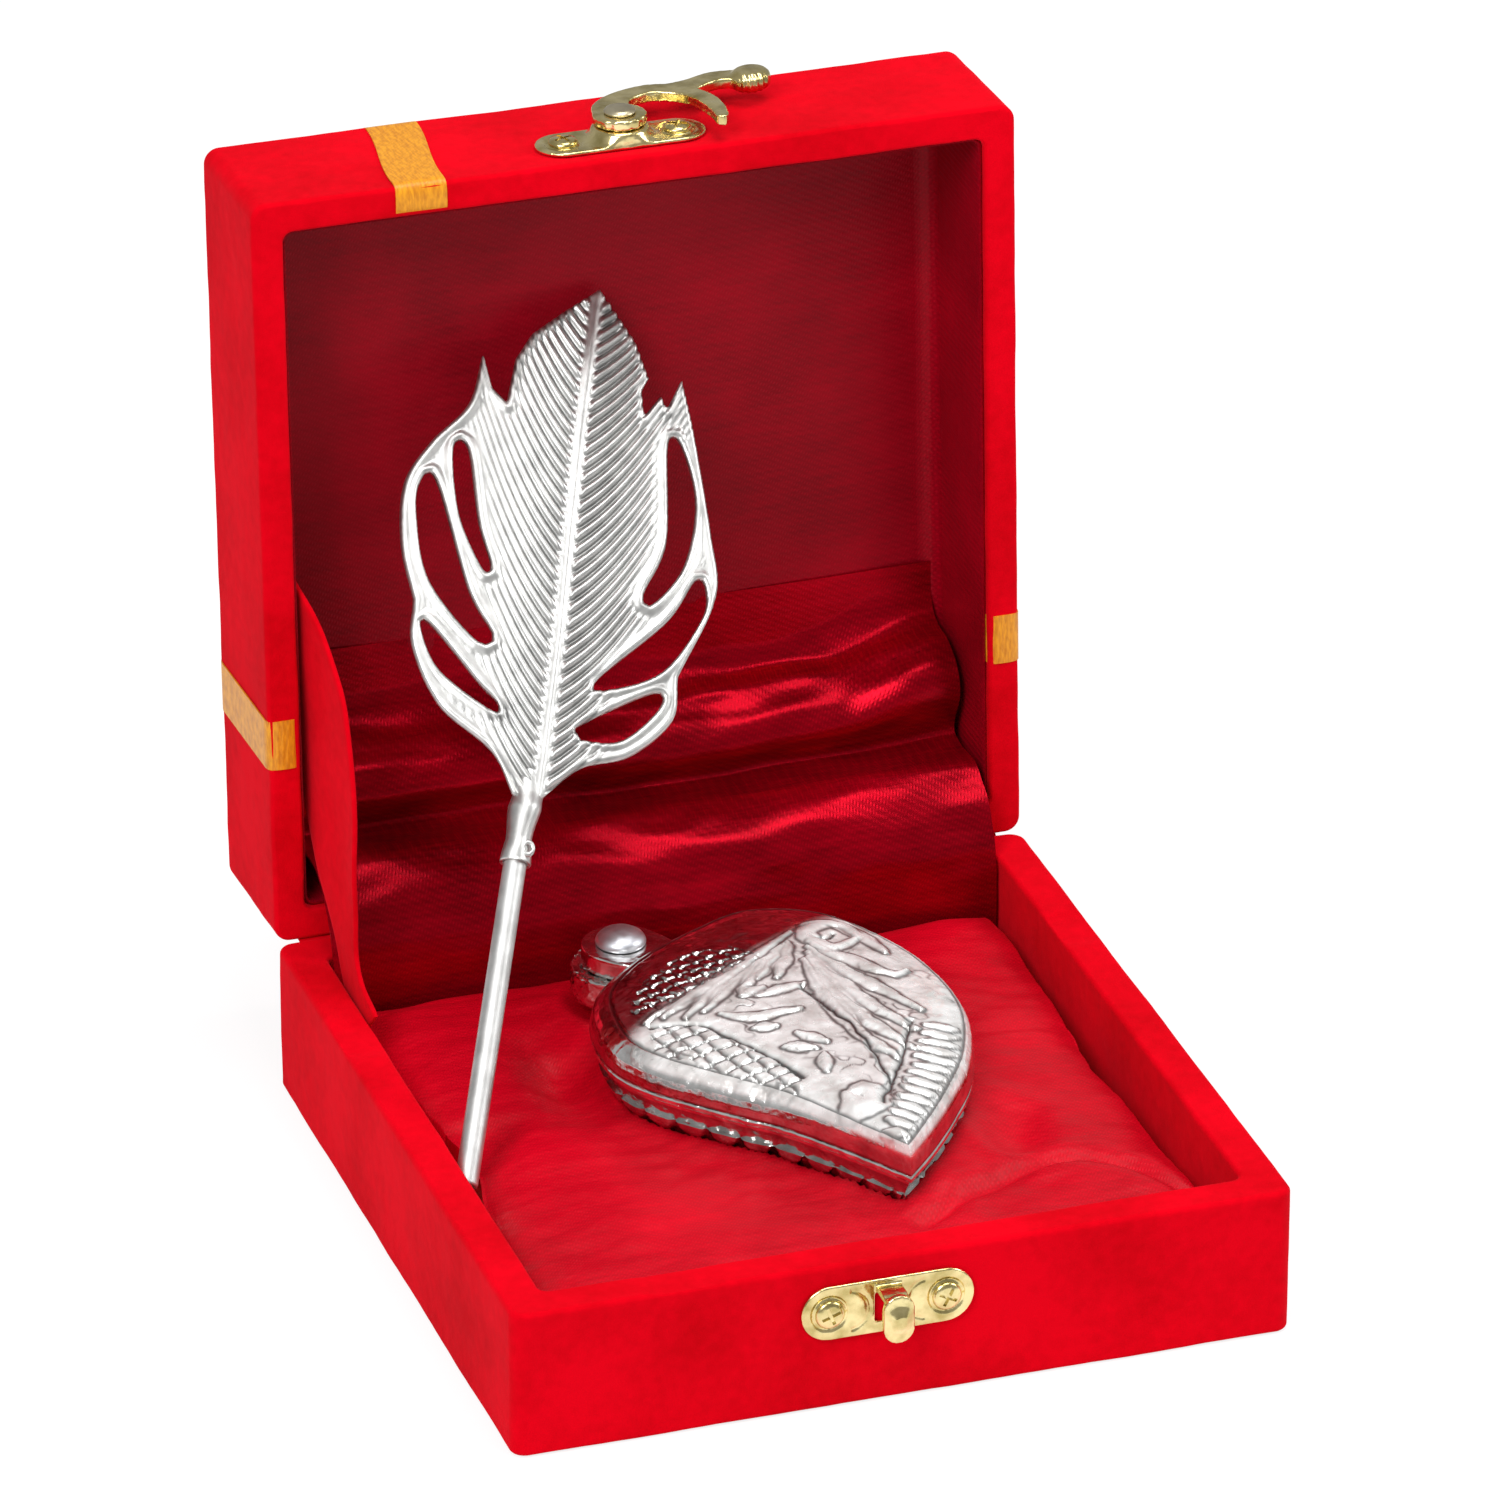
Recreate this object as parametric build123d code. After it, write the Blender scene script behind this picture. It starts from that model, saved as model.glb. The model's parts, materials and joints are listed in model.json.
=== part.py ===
from build123d import *
import math
import os

# A square velvet presentation case, standing open, with a leaf-shaped kumkum container on its
# satin pad and a leaf-headed applicator stick that leans from the pad into the lid.
# Millimetres. X runs along the front face, Y to the back, Z up. The origin is the centre of the
# case's underside. Lid and latch are drawn closed and then turned open about the rear rim.

# Case
case_side = 127.0
base_height = 25.0
lid_depth = 28.0
lid_open_angle = 93.4
velvet = 0.8
satin = 0.6
base_board = 4.9
lid_board = 3.6
floor_board = 2.4
panel_board = 2.4
corner_radius = 3.6
rim_radius = 0.7
edge_radius = 1.6
soft_gap = 0.35
seat_gap = 0.3

half_side = case_side / 2
base_inner = half_side - 2 * velvet - base_board
lid_inner = half_side - 2 * velvet - lid_board
lining_inner = lid_inner - satin
lid_top = base_height + lid_depth
panel_under = lid_top - velvet - panel_board
lining_under = panel_under - satin
lining_rim_gap = 1.2
inner_corner = 4.0
hinge_line = Axis((0, half_side, base_height), (1, 0, 0))

# Soft pieces
pad_top = 19.8
pad_bottom_gap = 0.3
drape_tuck = 2.2
drape_thickness = 1.4
drape_bottom = 9.0
rear_ridge_height = 4.4
lid_ridge_height = 11.5
lid_ridge_depth = 17.0
drape_top = 24.0
strap_thickness = 0.9
strap_wall_gap = 0.35
hinge_cloth_thickness = 0.6
hinge_cloth_drop = 13.0
hinge_cloth_reach = 22.0
hinge_cloth_inset = 4.0

# Ribbons
ribbon_width = 8.2
ribbon_thickness = 0.35
ribbon_long_x = -35.0
ribbon_cross_from_hinge = 34.6

# Latch: two stamped plates of the same outline, a swivelling hook and a bent-out keeper
plate_length = 28.2
plate_width = 9.4
plate_thickness = 0.8
screw_spacing = 19.0
screw_head_radius = 2.4
screw_head_height = 0.9
screw_shank_radius = 0.8
screw_shank_length = 4.4
hook_plate_x = -0.3
hook_plate_above_rim = 7.4
boss_radius = 4.2
boss_foot_radius = 6.0
boss_height = 2.0
hook_disc_radius = 4.4
hook_thickness = 1.8
hook_play = 0.1
hook_rivet_radius = 1.5
hook_rivet_head_radius = 2.6
hook_rivet_head_height = 0.9
pin_play = 0.05
hook_knob_radius = 3.0
keeper_x = -3.4
keeper_height = 17.0
keeper_neck_width = 4.0
keeper_neck_thickness = 1.1
keeper_neck_top = 20.7
keeper_head_width = 5.0
keeper_head_length = 8.2
keeper_head_thickness = 1.0
keeper_hole_depth = 5.4

# Kumkum container
container_bottom = 9.0
container_rim = 25.4
container_wall = 2.2
container_floor = 2.2
container_recess_gap = 0.5
lid_rest_gap = 0.15
container_lid_edge = 5.0
container_lid_crown = 7.6
container_lid_bevel = 3.2
rivet_x = -13.0
rivet_y = 39.6
base_lug_radius = 8.2
lid_lug_radius = 6.4
lug_depth = 5.0
lug_room_gap = 1.2
lid_lug_height = 3.4
rivet_radius = 1.7
rivet_head_radius = 4.1
rivet_head_height = 2.4
washer_radius = 3.2
washer_thickness = 0.8
rivet_clench = 0.8
rivet_clench_radius = 2.6

# Applicator, drawn flat along +Y from its foot and then leaned into the lid
foot_point = Vector(-55.06, -11.94, 18.8)
tip_point = Vector(0.62, 90.65, 119.9)
leaf_side = Vector(0.932, -0.235, -0.275)
stem_radius = 1.85
socket_radius = 2.5
socket_bottom = 54.5
socket_top = 67.0
leaf_thickness = 1.2
midrib_radius = 1.1
eyelet_radius = 0.9
fit_play = 0.02


def opened(shape):
    """Turn a piece of the closed lid about the rear rim to where it stands open."""
    return shape.rotate(hinge_line, -lid_open_angle)


def block(half_x, half_y, low, high, corner):
    """A box about the case's centre with rounded upright edges."""
    sketch = RectangleRounded(2 * half_x, 2 * half_y, corner)
    return Pos(0, 0, low) * extrude(sketch, high - low)


def soft_block(half, low, high, low_radius, high_radius):
    """A velvet-covered block: upright edges rounded, and its lower and upper rims too."""
    body = block(half, half, low, high, corner_radius)
    if low_radius:
        body = fillet(body.faces().sort_by(Axis.Z)[0].edges(), low_radius)
    if high_radius:
        body = fillet(body.faces().sort_by(Axis.Z)[-1].edges(), high_radius)
    return body


def front_holes(x, z, depth):
    """Two screw holes, side by side, into a front wall."""
    holes = Part()
    for side in (-1, 1):
        start = (x + side * screw_spacing / 2, -half_side + depth, z)
        holes += Pos(*start) * Rot(90, 0, 0) * Cylinder(screw_shank_radius, 2 * depth)
    return holes


def base_floor():
    return block(half_side - velvet, half_side - velvet, 0, floor_board, corner_radius - velvet)


def base_walls():
    outer = half_side - velvet
    inner = base_inner + velvet
    top = base_height - velvet
    walls = block(outer, outer, floor_board, top, corner_radius - velvet)
    walls -= block(inner, inner, floor_board, top, inner_corner)
    return walls - front_holes(keeper_x, keeper_height, screw_shank_length)


def base_cover():
    outer = half_side - velvet
    inner = base_inner + velvet
    cover = soft_block(half_side, 0, base_height, rim_radius, edge_radius - 0.4)
    cover -= block(outer, outer, 0, floor_board, corner_radius - velvet)
    core = block(outer, outer, floor_board, base_height - velvet, corner_radius - velvet)
    core -= block(inner, inner, floor_board, base_height - velvet, inner_corner)
    cover -= core
    cover -= block(base_inner, base_inner, 0, base_height, inner_corner - velvet)
    return cover - front_holes(keeper_x, keeper_height, screw_shank_length)


def lid_walls():
    outer = half_side - velvet
    inner = lid_inner + velvet
    low = base_height + velvet
    walls = block(outer, outer, low, panel_under, corner_radius - velvet)
    walls -= block(inner, inner, low, panel_under, inner_corner)
    height = base_height + hook_plate_above_rim
    return walls - front_holes(hook_plate_x, height, screw_shank_length)


def lid_panel():
    outer = half_side - velvet
    return block(outer, outer, panel_under, lid_top - velvet, corner_radius - velvet)


def lid_cover():
    outer = half_side - velvet
    inner = lid_inner + velvet
    low = base_height + velvet
    cover = soft_block(half_side, base_height, lid_top, rim_radius, edge_radius)
    core = block(outer, outer, low, lid_top - velvet, corner_radius - velvet)
    core -= block(inner, inner, low, panel_under, inner_corner)
    cover -= core
    cover -= block(lid_inner, lid_inner, base_height, panel_under, inner_corner - velvet)
    cover -= front_holes(hook_plate_x, base_height + hook_plate_above_rim, screw_shank_length)
    return cover - ribbon_band(True) - ribbon_band(False)


def lid_lining():
    low = base_height + lining_rim_gap
    corner = inner_corner - velvet
    lining = block(lid_inner, lid_inner, low, panel_under, corner)
    lining -= block(lining_inner, lining_inner, low, lining_under, corner - satin)
    return lining


def ribbon_band(lengthwise):
    """A satin ribbon round the lid's outside and over its rim, flush with the velvet there."""
    reach = half_side + ribbon_thickness
    band = soft_block(reach, base_height, lid_top + ribbon_thickness, 0, edge_radius)
    core = soft_block(
        half_side, base_height + ribbon_thickness, lid_top, rim_radius, edge_radius
    )
    band -= core
    band -= block(lid_inner, lid_inner, base_height, panel_under, inner_corner - velvet)
    if lengthwise:
        slab = Pos(ribbon_long_x, 0, lid_top) * Box(ribbon_width, 2 * case_side, 3 * lid_depth)
    else:
        y = half_side - ribbon_cross_from_hinge
        slab = Pos(0, y, lid_top) * Box(2 * case_side, ribbon_width, 3 * lid_depth)
    return band & slab


def pad_section(inset, z):
    """One level of the pad, drawn in from the base's walls."""
    low_y = -base_inner + soft_gap + inset
    high_y = base_inner - drape_tuck - soft_gap - inset
    half_x = base_inner - soft_gap - inset
    sketch = RectangleRounded(2 * half_x, high_y - low_y, inner_corner + 1.5 * inset)
    return Pos(0, (low_y + high_y) / 2, z) * sketch


def pad():
    low = floor_board + pad_bottom_gap
    levels = [
        (1.6, low),
        (0.1, low + 5.0),
        (0.4, pad_top - 6.0),
        (1.4, pad_top - 4.2),
        (3.2, pad_top - 2.6),
        (6.4, pad_top - 1.3),
        (11.0, pad_top - 0.5),
        (18.0, pad_top),
    ]
    cushion = loft([pad_section(inset, z) for inset, z in levels], ruled=True)
    nest = container_blank(container_bottom - seat_gap, container_rim, container_recess_gap)
    lug_room = Pos(rivet_x, rivet_y, container_rim - lug_depth - washer_thickness - 2.0)
    nest += lug_room * Cylinder(
        base_lug_radius + lug_room_gap,
        container_rim,
        align=(Align.CENTER, Align.CENTER, Align.MIN),
    )
    return cushion - nest


def ribbon_cross():
    """The left-to-right ribbon, which passes over the other one where they cross."""
    y = half_side - ribbon_cross_from_hinge
    over = Pos(ribbon_long_x, y, lid_top + 1.5 * ribbon_thickness) * Box(
        ribbon_width + 4 * ribbon_thickness, ribbon_width, ribbon_thickness
    )
    return ribbon_band(False) - ribbon_band(True) + over


def drape_profile():
    """Side view of the satin folds over the hinge: from behind the pad up into the lid."""
    wall = base_inner - soft_gap
    step = half_side - soft_gap
    rim = base_height + soft_gap
    shelf = base_height + half_side - lining_inner + soft_gap
    back = half_side + lid_top - base_height - (lid_top - lining_under) - soft_gap - 1.6
    rear_ridge = base_height + rear_ridge_height
    lid_ridge = shelf + lid_ridge_height
    under = Polyline(
        (0, wall, drape_bottom),
        (0, wall, rim),
        (0, step, rim),
        (0, step, shelf),
        (0, back, shelf),
        (0, back + 1.0, shelf + drape_top),
    )
    front = wall - drape_thickness
    over = Spline(
        (0, back + 1.0, shelf + drape_top),
        (0, back - 1.6, shelf + drape_top * 0.72),
        (0, half_side + lid_ridge_depth - 1.0, lid_ridge),
        (0, half_side + lid_ridge_depth - 8.0, lid_ridge - 5.6),
        (0, half_side + 3.0, shelf + 1.5),
        (0, half_side - 2.6, rear_ridge + 0.6),
        (0, front - 0.6, base_height - 0.6),
        (0, front, drape_bottom + 5.0),
        (0, front, drape_bottom),
    )
    close = Line((0, front, drape_bottom), (0, wall, drape_bottom))
    return make_face(Curve() + [under, over, close])


def hinge_drape():
    half = base_inner - soft_gap - 0.4
    drape = extrude(drape_profile(), amount=half, dir=(1, 0, 0), both=True)
    clear = base_inner - soft_gap
    room = block(clear, clear, 0, base_height, inner_corner)
    room += Pos(0, 0, base_height) * Box(
        2 * case_side, 2 * case_side, case_side, align=(Align.CENTER, Align.CENTER, Align.MIN)
    )
    return drape & room


def hinge_cloth():
    """Velvet glued to the base's back and to the underside of the open lid."""
    half = half_side - hinge_cloth_inset
    lid_part = Pos(0, half_side + hinge_cloth_thickness / 2, base_height) * Box(
        2 * half,
        hinge_cloth_thickness,
        hinge_cloth_reach,
        align=(Align.CENTER, Align.CENTER, Align.MIN),
    )
    lid_part = opened(Pos(0, 0.1, rim_radius) * lid_part)
    base_part = Pos(0, half_side + hinge_cloth_thickness / 2, base_height - rim_radius) * Box(
        2 * half,
        hinge_cloth_thickness,
        hinge_cloth_drop,
        align=(Align.CENTER, Align.CENTER, Align.MAX),
    )
    fold_radius = hinge_cloth_thickness
    fold_y = half_side + fold_radius + 0.05
    fold = Pos(0, fold_y, base_height - fold_radius - 0.05) * Rot(0, 90, 0) * Cylinder(
        fold_radius, 2 * half
    )
    return base_part + lid_part + fold - opened(ribbon_band(True))


def stay_strap():
    """Velvet strap between the lid's left wall and the gap beside the pad, seen side on."""
    x = -base_inner + strap_wall_gap
    lid_edge = Spline(
        (x, 79.0, 86.0), (x, 64.0, 82.0), (x, 51.5, 71.0), (x, 45.5, 54.5), (x, 42.5, 31.5), (x, 30.5, 26.4)
    )
    base_edge = Spline(
        (x, 40.5, 17.4), (x, 50.0, 24.0), (x, 56.0, 31.2), (x, 63.5, 38.5), (x, 72.0, 48.5), (x, 79.0, 58.0)
    )
    lower = Line((x, 30.5, 26.4), (x, 40.5, 17.4))
    upper = Line((x, 79.0, 58.0), (x, 79.0, 86.0))
    face = make_face(Curve() + [lid_edge, lower, base_edge, upper])
    return extrude(face, amount=strap_thickness, dir=(1, 0, 0))


def on_front(x, z):
    """A drawing plane on the case's front face: local X right, local Y up, local Z outwards."""
    return Plane(origin=(x, -half_side, z), x_dir=(1, 0, 0), z_dir=(0, -1, 0))


def plate_blank():
    return extrude(SlotOverall(plate_length, plate_width), plate_thickness)


def screw_hole_pair(radius, depth):
    holes = Part()
    for side in (-1, 1):
        holes += Pos(side * screw_spacing / 2, 0, 0) * Cylinder(radius, depth)
    return holes


def screw_pair(x, z):
    """Two domed screws with cross slots, their shanks in the board behind."""
    screws = Part()
    slot_depth = screw_head_height
    for side in (-1, 1):
        centre = Pos(side * screw_spacing / 2, 0, 0)
        head = Pos(0, 0, plate_thickness) * Cylinder(
            screw_head_radius, screw_head_height, align=(Align.CENTER, Align.CENTER, Align.MIN)
        )
        head = fillet(head.edges().sort_by(Axis.Z)[-1], screw_head_height * 0.6)
        for turn in (0, 90):
            cross = Rot(0, 0, turn) * Box(screw_head_radius, 0.5, slot_depth)
            head -= Pos(0, 0, plate_thickness + screw_head_height) * cross
        shank = Cylinder(
            screw_shank_radius,
            screw_shank_length + plate_thickness,
            align=(Align.CENTER, Align.CENTER, Align.MAX),
        )
        screws += centre * (head + Pos(0, 0, plate_thickness) * shank)
    return on_front(x, z) * screws


def hook_plate():
    plate = plate_blank()
    boss = Pos(0, 0, plate_thickness) * Cone(
        boss_foot_radius, boss_radius, boss_height, align=(Align.CENTER, Align.CENTER, Align.MIN)
    )
    boss &= Pos(0, 0, boss_height) * Box(plate_length, plate_width, 2 * boss_height)
    plate += boss
    plate -= Cylinder(hook_rivet_radius, 4 * boss_height)
    plate -= screw_hole_pair(screw_shank_radius, 4 * plate_thickness)
    return on_front(hook_plate_x, base_height + hook_plate_above_rim) * plate


def hook_outline():
    """Crescent arm that comes off the pivot disc and curls round the keeper's neck."""
    outer = Spline(
        (-4.3, 0.6), (-3.0, 5.0), (1.2, 8.8), (7.6, 10.6), (13.0, 8.6), (16.2, 3.6), (16.9, -1.6), (16.1, -6.4)
    )
    tip = ThreePointArc((16.1, -6.4), (15.2, -7.4), (14.1, -6.7))
    inner = Spline((14.1, -6.7), (14.05, -1.6), (12.6, 3.8), (7.8, 6.9), (3.6, 5.4), (2.6, 3.2))
    foot = Line((2.6, 3.2), (-4.3, 0.6))
    return make_face(Curve() + [outer, tip, inner, foot])


def hook_lever():
    """Finger lever that forks off the arm and ends in a knob."""
    upper = Spline((9.0, 9.9), (14.0, 10.6), (19.0, 12.2), (24.0, 11.2))
    lower = Spline((24.0, 7.4), (19.4, 8.7), (15.4, 6.6), (13.4, 5.0))
    sides = [Line((24.0, 11.2), (24.0, 7.4)), Line((13.4, 5.0), (9.0, 9.9))]
    return make_face(Curve() + [upper, lower] + sides)


def hook_level():
    return plate_thickness + boss_height + hook_play


def hook_arm():
    flat = extrude(hook_outline(), hook_thickness)
    flat += Cylinder(
        hook_disc_radius, hook_thickness, align=(Align.CENTER, Align.CENTER, Align.MIN)
    )
    flat += extrude(hook_lever(), hook_thickness)
    knob = Pos(25.0, 9.2, hook_thickness / 2) * Sphere(hook_knob_radius)
    flat += knob & Pos(25.0, 9.2, hook_thickness / 2) * Box(10, 10, 1.9 * hook_thickness)
    flat -= Cylinder(hook_rivet_radius + pin_play, 4 * hook_thickness)
    flat = Pos(0, 0, hook_level()) * flat
    return on_front(hook_plate_x, base_height + hook_plate_above_rim) * flat


def hook_rivet():
    top = hook_level() + hook_thickness + hook_play
    shank = Cylinder(hook_rivet_radius, top, align=(Align.CENTER, Align.CENTER, Align.MIN))
    head = Pos(0, 0, top) * Cylinder(
        hook_rivet_head_radius,
        hook_rivet_head_height,
        align=(Align.CENTER, Align.CENTER, Align.MIN),
    )
    head = fillet(head.edges().sort_by(Axis.Z)[-1], hook_rivet_head_height * 0.8)
    return on_front(hook_plate_x, base_height + hook_plate_above_rim) * (shank + head)


def keeper_plate():
    """Stamped plate whose tongue is bent out and down from a punched hole."""
    plate = plate_blank() - screw_hole_pair(screw_shank_radius, 4 * plate_thickness)
    neck_top = keeper_neck_top - keeper_height
    neck_low = neck_top - keeper_neck_thickness
    head_level = plate_thickness + boss_height + 2 * hook_play + hook_thickness + 0.2
    hole = Pos(0, neck_low - keeper_hole_depth / 2, 0)
    plate -= hole * Box(keeper_neck_width, keeper_hole_depth, 4 * plate_thickness)
    neck = Pos(0, (neck_top + neck_low) / 2, 0) * Box(
        keeper_neck_width,
        keeper_neck_thickness,
        head_level + keeper_head_thickness,
        align=(Align.CENTER, Align.CENTER, Align.MIN),
    )
    head_centre = neck_top - keeper_head_length / 2
    pill = SlotOverall(keeper_head_length, keeper_head_width, rotation=90)
    head = Pos(0, head_centre, head_level) * extrude(pill, keeper_head_thickness)
    crown = Pos(0, head_centre, head_level + keeper_head_thickness) * extrude(pill, 1.4, taper=55)
    return on_front(keeper_x, keeper_height) * (plate + neck + head + crown)


def leaf_outline(grow, z):
    """The container's mango-leaf outline: a sharp tip at the front and a round back."""
    centre = Vector(4.0, 4.0)
    scale = 1 + grow / 29.0

    def at(x, y):
        return (centre.X + (x - centre.X) * scale, centre.Y + (y - centre.Y) * scale, z)

    tip = at(8.0, -42.0)
    back = at(9.0, 43.6)
    right = Spline(
        tip,
        at(14.6, -34.6),
        at(21.0, -26.0),
        at(27.2, -16.0),
        at(31.8, -2.0),
        at(31.8, 12.0),
        at(28.4, 25.0),
        at(20.4, 38.6),
        back,
    )
    left = Spline(
        back,
        at(-2.0, 40.0),
        at(-14.0, 33.0),
        at(-23.4, 23.0),
        at(-26.0, 9.0),
        at(-23.0, -1.6),
        at(-11.9, -14.6),
        at(-5.6, -21.2),
        at(1.6, -31.5),
        tip,
    )
    return make_face(Curve() + [right, left])


def container_blank(low, high, grow):
    """A leaf-shaped block whose straight side leans out from its foot to the pad's top."""
    sections = [
        leaf_outline(grow - 9.2, low),
        leaf_outline(grow - 2.2, pad_top),
        leaf_outline(grow, high),
    ]
    return loft(sections, ruled=True)


def lug(radius, low, high):
    """A round rivet lug with a web back to the leaf."""
    height = high - low
    base = Pos(rivet_x, rivet_y, low)
    disc = base * Cylinder(radius, height, align=(Align.CENTER, Align.CENTER, Align.MIN))
    web = base * Rot(0, 0, -52) * Box(
        16.0, 1.7 * radius, height, align=(Align.MIN, Align.CENTER, Align.MIN)
    )
    return disc + web


def container_base():
    bowl = container_blank(container_bottom, container_rim, 0)
    bowl += lug(base_lug_radius, container_rim - lug_depth, container_rim)
    hollow = container_blank(
        container_bottom + container_floor, container_rim + 0.01, -container_wall
    )
    bowl -= hollow
    hole = Pos(rivet_x, rivet_y, container_rim) * Cylinder(rivet_radius + fit_play, 6 * lug_depth)
    return bowl - hole


def container_lid():
    low = container_rim + lid_rest_gap
    edge = low + container_lid_edge
    crown = low + container_lid_crown
    bevel = -container_lid_bevel
    side = loft([leaf_outline(0, low), leaf_outline(bevel, edge)], ruled=True)
    swell = (crown - edge) * 0.66
    dome = loft(
        [leaf_outline(bevel, edge), leaf_outline(2.6 * bevel, edge + swell), leaf_outline(5.4 * bevel, crown)]
    )
    cover = side + dome
    cover += lug(lid_lug_radius, low, low + lid_lug_height)
    hollow_top = leaf_outline(bevel - container_wall, low + 2.6)
    cover -= loft([leaf_outline(-container_wall, low - 0.01), hollow_top], ruled=True)
    hole = Pos(rivet_x, rivet_y, low) * Cylinder(rivet_radius + pin_play, 6 * lug_depth)
    head_room = Pos(rivet_x, rivet_y, low + lid_lug_height) * Cylinder(
        rivet_head_radius + 0.4, 20, align=(Align.CENTER, Align.CENTER, Align.MIN)
    )
    return cover - hole - head_room


def container_rivet():
    low = container_rim - lug_depth - washer_thickness - rivet_clench
    seat = container_rim + lid_rest_gap + lid_lug_height + lid_rest_gap
    centre = Pos(rivet_x, rivet_y, 0)
    shank = Pos(0, 0, low) * Cylinder(
        rivet_radius, seat - low, align=(Align.CENTER, Align.CENTER, Align.MIN)
    )
    head = Pos(0, 0, seat) * Cylinder(
        rivet_head_radius, rivet_head_height, align=(Align.CENTER, Align.CENTER, Align.MIN)
    )
    head = fillet(head.edges().sort_by(Axis.Z)[-1], rivet_head_height * 0.9)
    clench = Pos(0, 0, low) * Cylinder(
        rivet_clench_radius, rivet_clench, align=(Align.CENTER, Align.CENTER, Align.MIN)
    )
    clench = fillet(clench.edges().sort_by(Axis.Z)[0], rivet_clench * 0.6)
    return centre * (shank + head + clench)


def rivet_washer():
    low = container_rim - lug_depth - washer_thickness
    ring = Cylinder(washer_radius, washer_thickness, align=(Align.CENTER, Align.CENTER, Align.MIN))
    ring -= Cylinder(rivet_radius + fit_play, 4 * washer_thickness)
    return Pos(rivet_x, rivet_y, low) * ring


def applicator_plane():
    """The leaning leaf's own plane: local Y from foot to tip, local Z out of its face."""
    along = (tip_point - foot_point).normalized()
    face = leaf_side.cross(along).normalized()
    return Plane(origin=foot_point, x_dir=along.cross(face), z_dir=face)


def leaf_head_outline():
    """Feather-like leaf with a notch and a spike on each side of its crown."""
    left = Polyline(
        (-0.4, 154.4), (-6.0, 148.5), (-10.4, 143.6), (-12.4, 138.7), (-12.7, 130.9), (-15.4, 133.1), (-17.7, 138.7)
    )
    left += Spline(
        (-17.7, 138.7), (-18.7, 129.6), (-23.8, 121.8), (-26.9, 113.9), (-25.9, 103.5), (-22.6, 94.6)
    )
    left += Spline((-22.6, 94.6), (-21.7, 86.9), (-15.9, 77.8), (-6.7, 72.0), (-2.2, 65.5))
    right = Spline((2.2, 65.5), (7.9, 72.3), (15.7, 76.4), (21.7, 84.0), (21.5, 91.4))
    right += Spline((21.5, 91.4), (25.8, 106.5), (23.6, 116.7), (18.7, 132.0), (14.9, 141.8))
    right += Polyline(
        (14.9, 141.8), (13.2, 135.9), (11.9, 138.1), (9.6, 133.8), (8.7, 138.2), (9.5, 140.5), (6.5, 146.3), (-0.4, 154.4)
    )
    base = Line((-2.2, 65.5), (2.2, 65.5))
    return make_face(left + base + right)


def leaf_slots():
    """Three curved slots down each side of the leaf."""
    outlines = [
        ((-20.0, 121.6), (-17.7, 122.0), (-14.3, 109.9), (-11.3, 103.0), (-12.5, 102.0), (-17.5, 110.4)),
        ((-24.3, 115.0), (-22.0, 115.6), (-14.4, 98.3), (-9.2, 91.2), (-12.0, 90.0), (-20.8, 98.5), (-24.3, 109.6)),
        ((-20.8, 90.2), (-19.4, 91.0), (-10.5, 83.0), (-6.9, 80.2), (-7.5, 78.7), (-16.8, 83.7)),
        ((14.3, 130.1), (16.4, 130.7), (20.2, 121.7), (19.8, 110.4), (15.6, 102.6), (13.9, 103.8), (16.4, 113.6)),
        ((22.1, 108.5), (23.9, 107.4), (24.0, 102.2), (18.7, 91.6), (9.7, 86.2), (8.6, 87.8), (18.3, 100.0)),
        ((6.5, 78.2), (7.1, 79.7), (18.0, 87.8), (19.2, 85.5), (14.0, 78.7), (8.0, 77.2)),
    ]
    slots = Sketch()
    for points in outlines:
        slots += make_face(Spline(*points, periodic=True))
    return slots


def applicator_head():
    leaf = Pos(0, 0, -leaf_thickness / 2) * extrude(leaf_head_outline(), leaf_thickness)
    leaf -= Pos(0, 0, -leaf_thickness) * extrude(leaf_slots(), 2 * leaf_thickness)
    rib_length = 148.0 - socket_top
    rib = Pos(0, socket_top + rib_length / 2, leaf_thickness / 4) * Rot(-90, 0, 0) * Cone(
        midrib_radius, 0.3, rib_length
    )
    socket_length = socket_top - socket_bottom
    socket = Pos(0, socket_bottom + socket_length / 2, 0) * Rot(-90, 0, 0) * Cone(
        socket_radius, socket_radius - 0.3, socket_length
    )
    eyelet = Pos(-socket_radius, socket_bottom + 1.8, 0) * Cylinder(eyelet_radius + 0.5, leaf_thickness)
    eyelet -= Pos(-socket_radius - 0.4, socket_bottom + 1.8, 0) * Cylinder(eyelet_radius * 0.5, 4)
    bore_length = socket_length - 2.0
    bore = Pos(0, socket_bottom + bore_length / 2, 0) * Rot(-90, 0, 0) * Cylinder(
        stem_radius + fit_play, bore_length
    )
    return applicator_plane() * (leaf + rib + socket + eyelet - bore)


def applicator_stem():
    length = socket_top - 2.0 - fit_play
    rod = Pos(0, length / 2, 0) * Rot(-90, 0, 0) * Cylinder(stem_radius, length)
    rod = fillet(rod.edges().sort_by(Axis.Y)[0], 0.6)
    return applicator_plane() * rod


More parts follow.
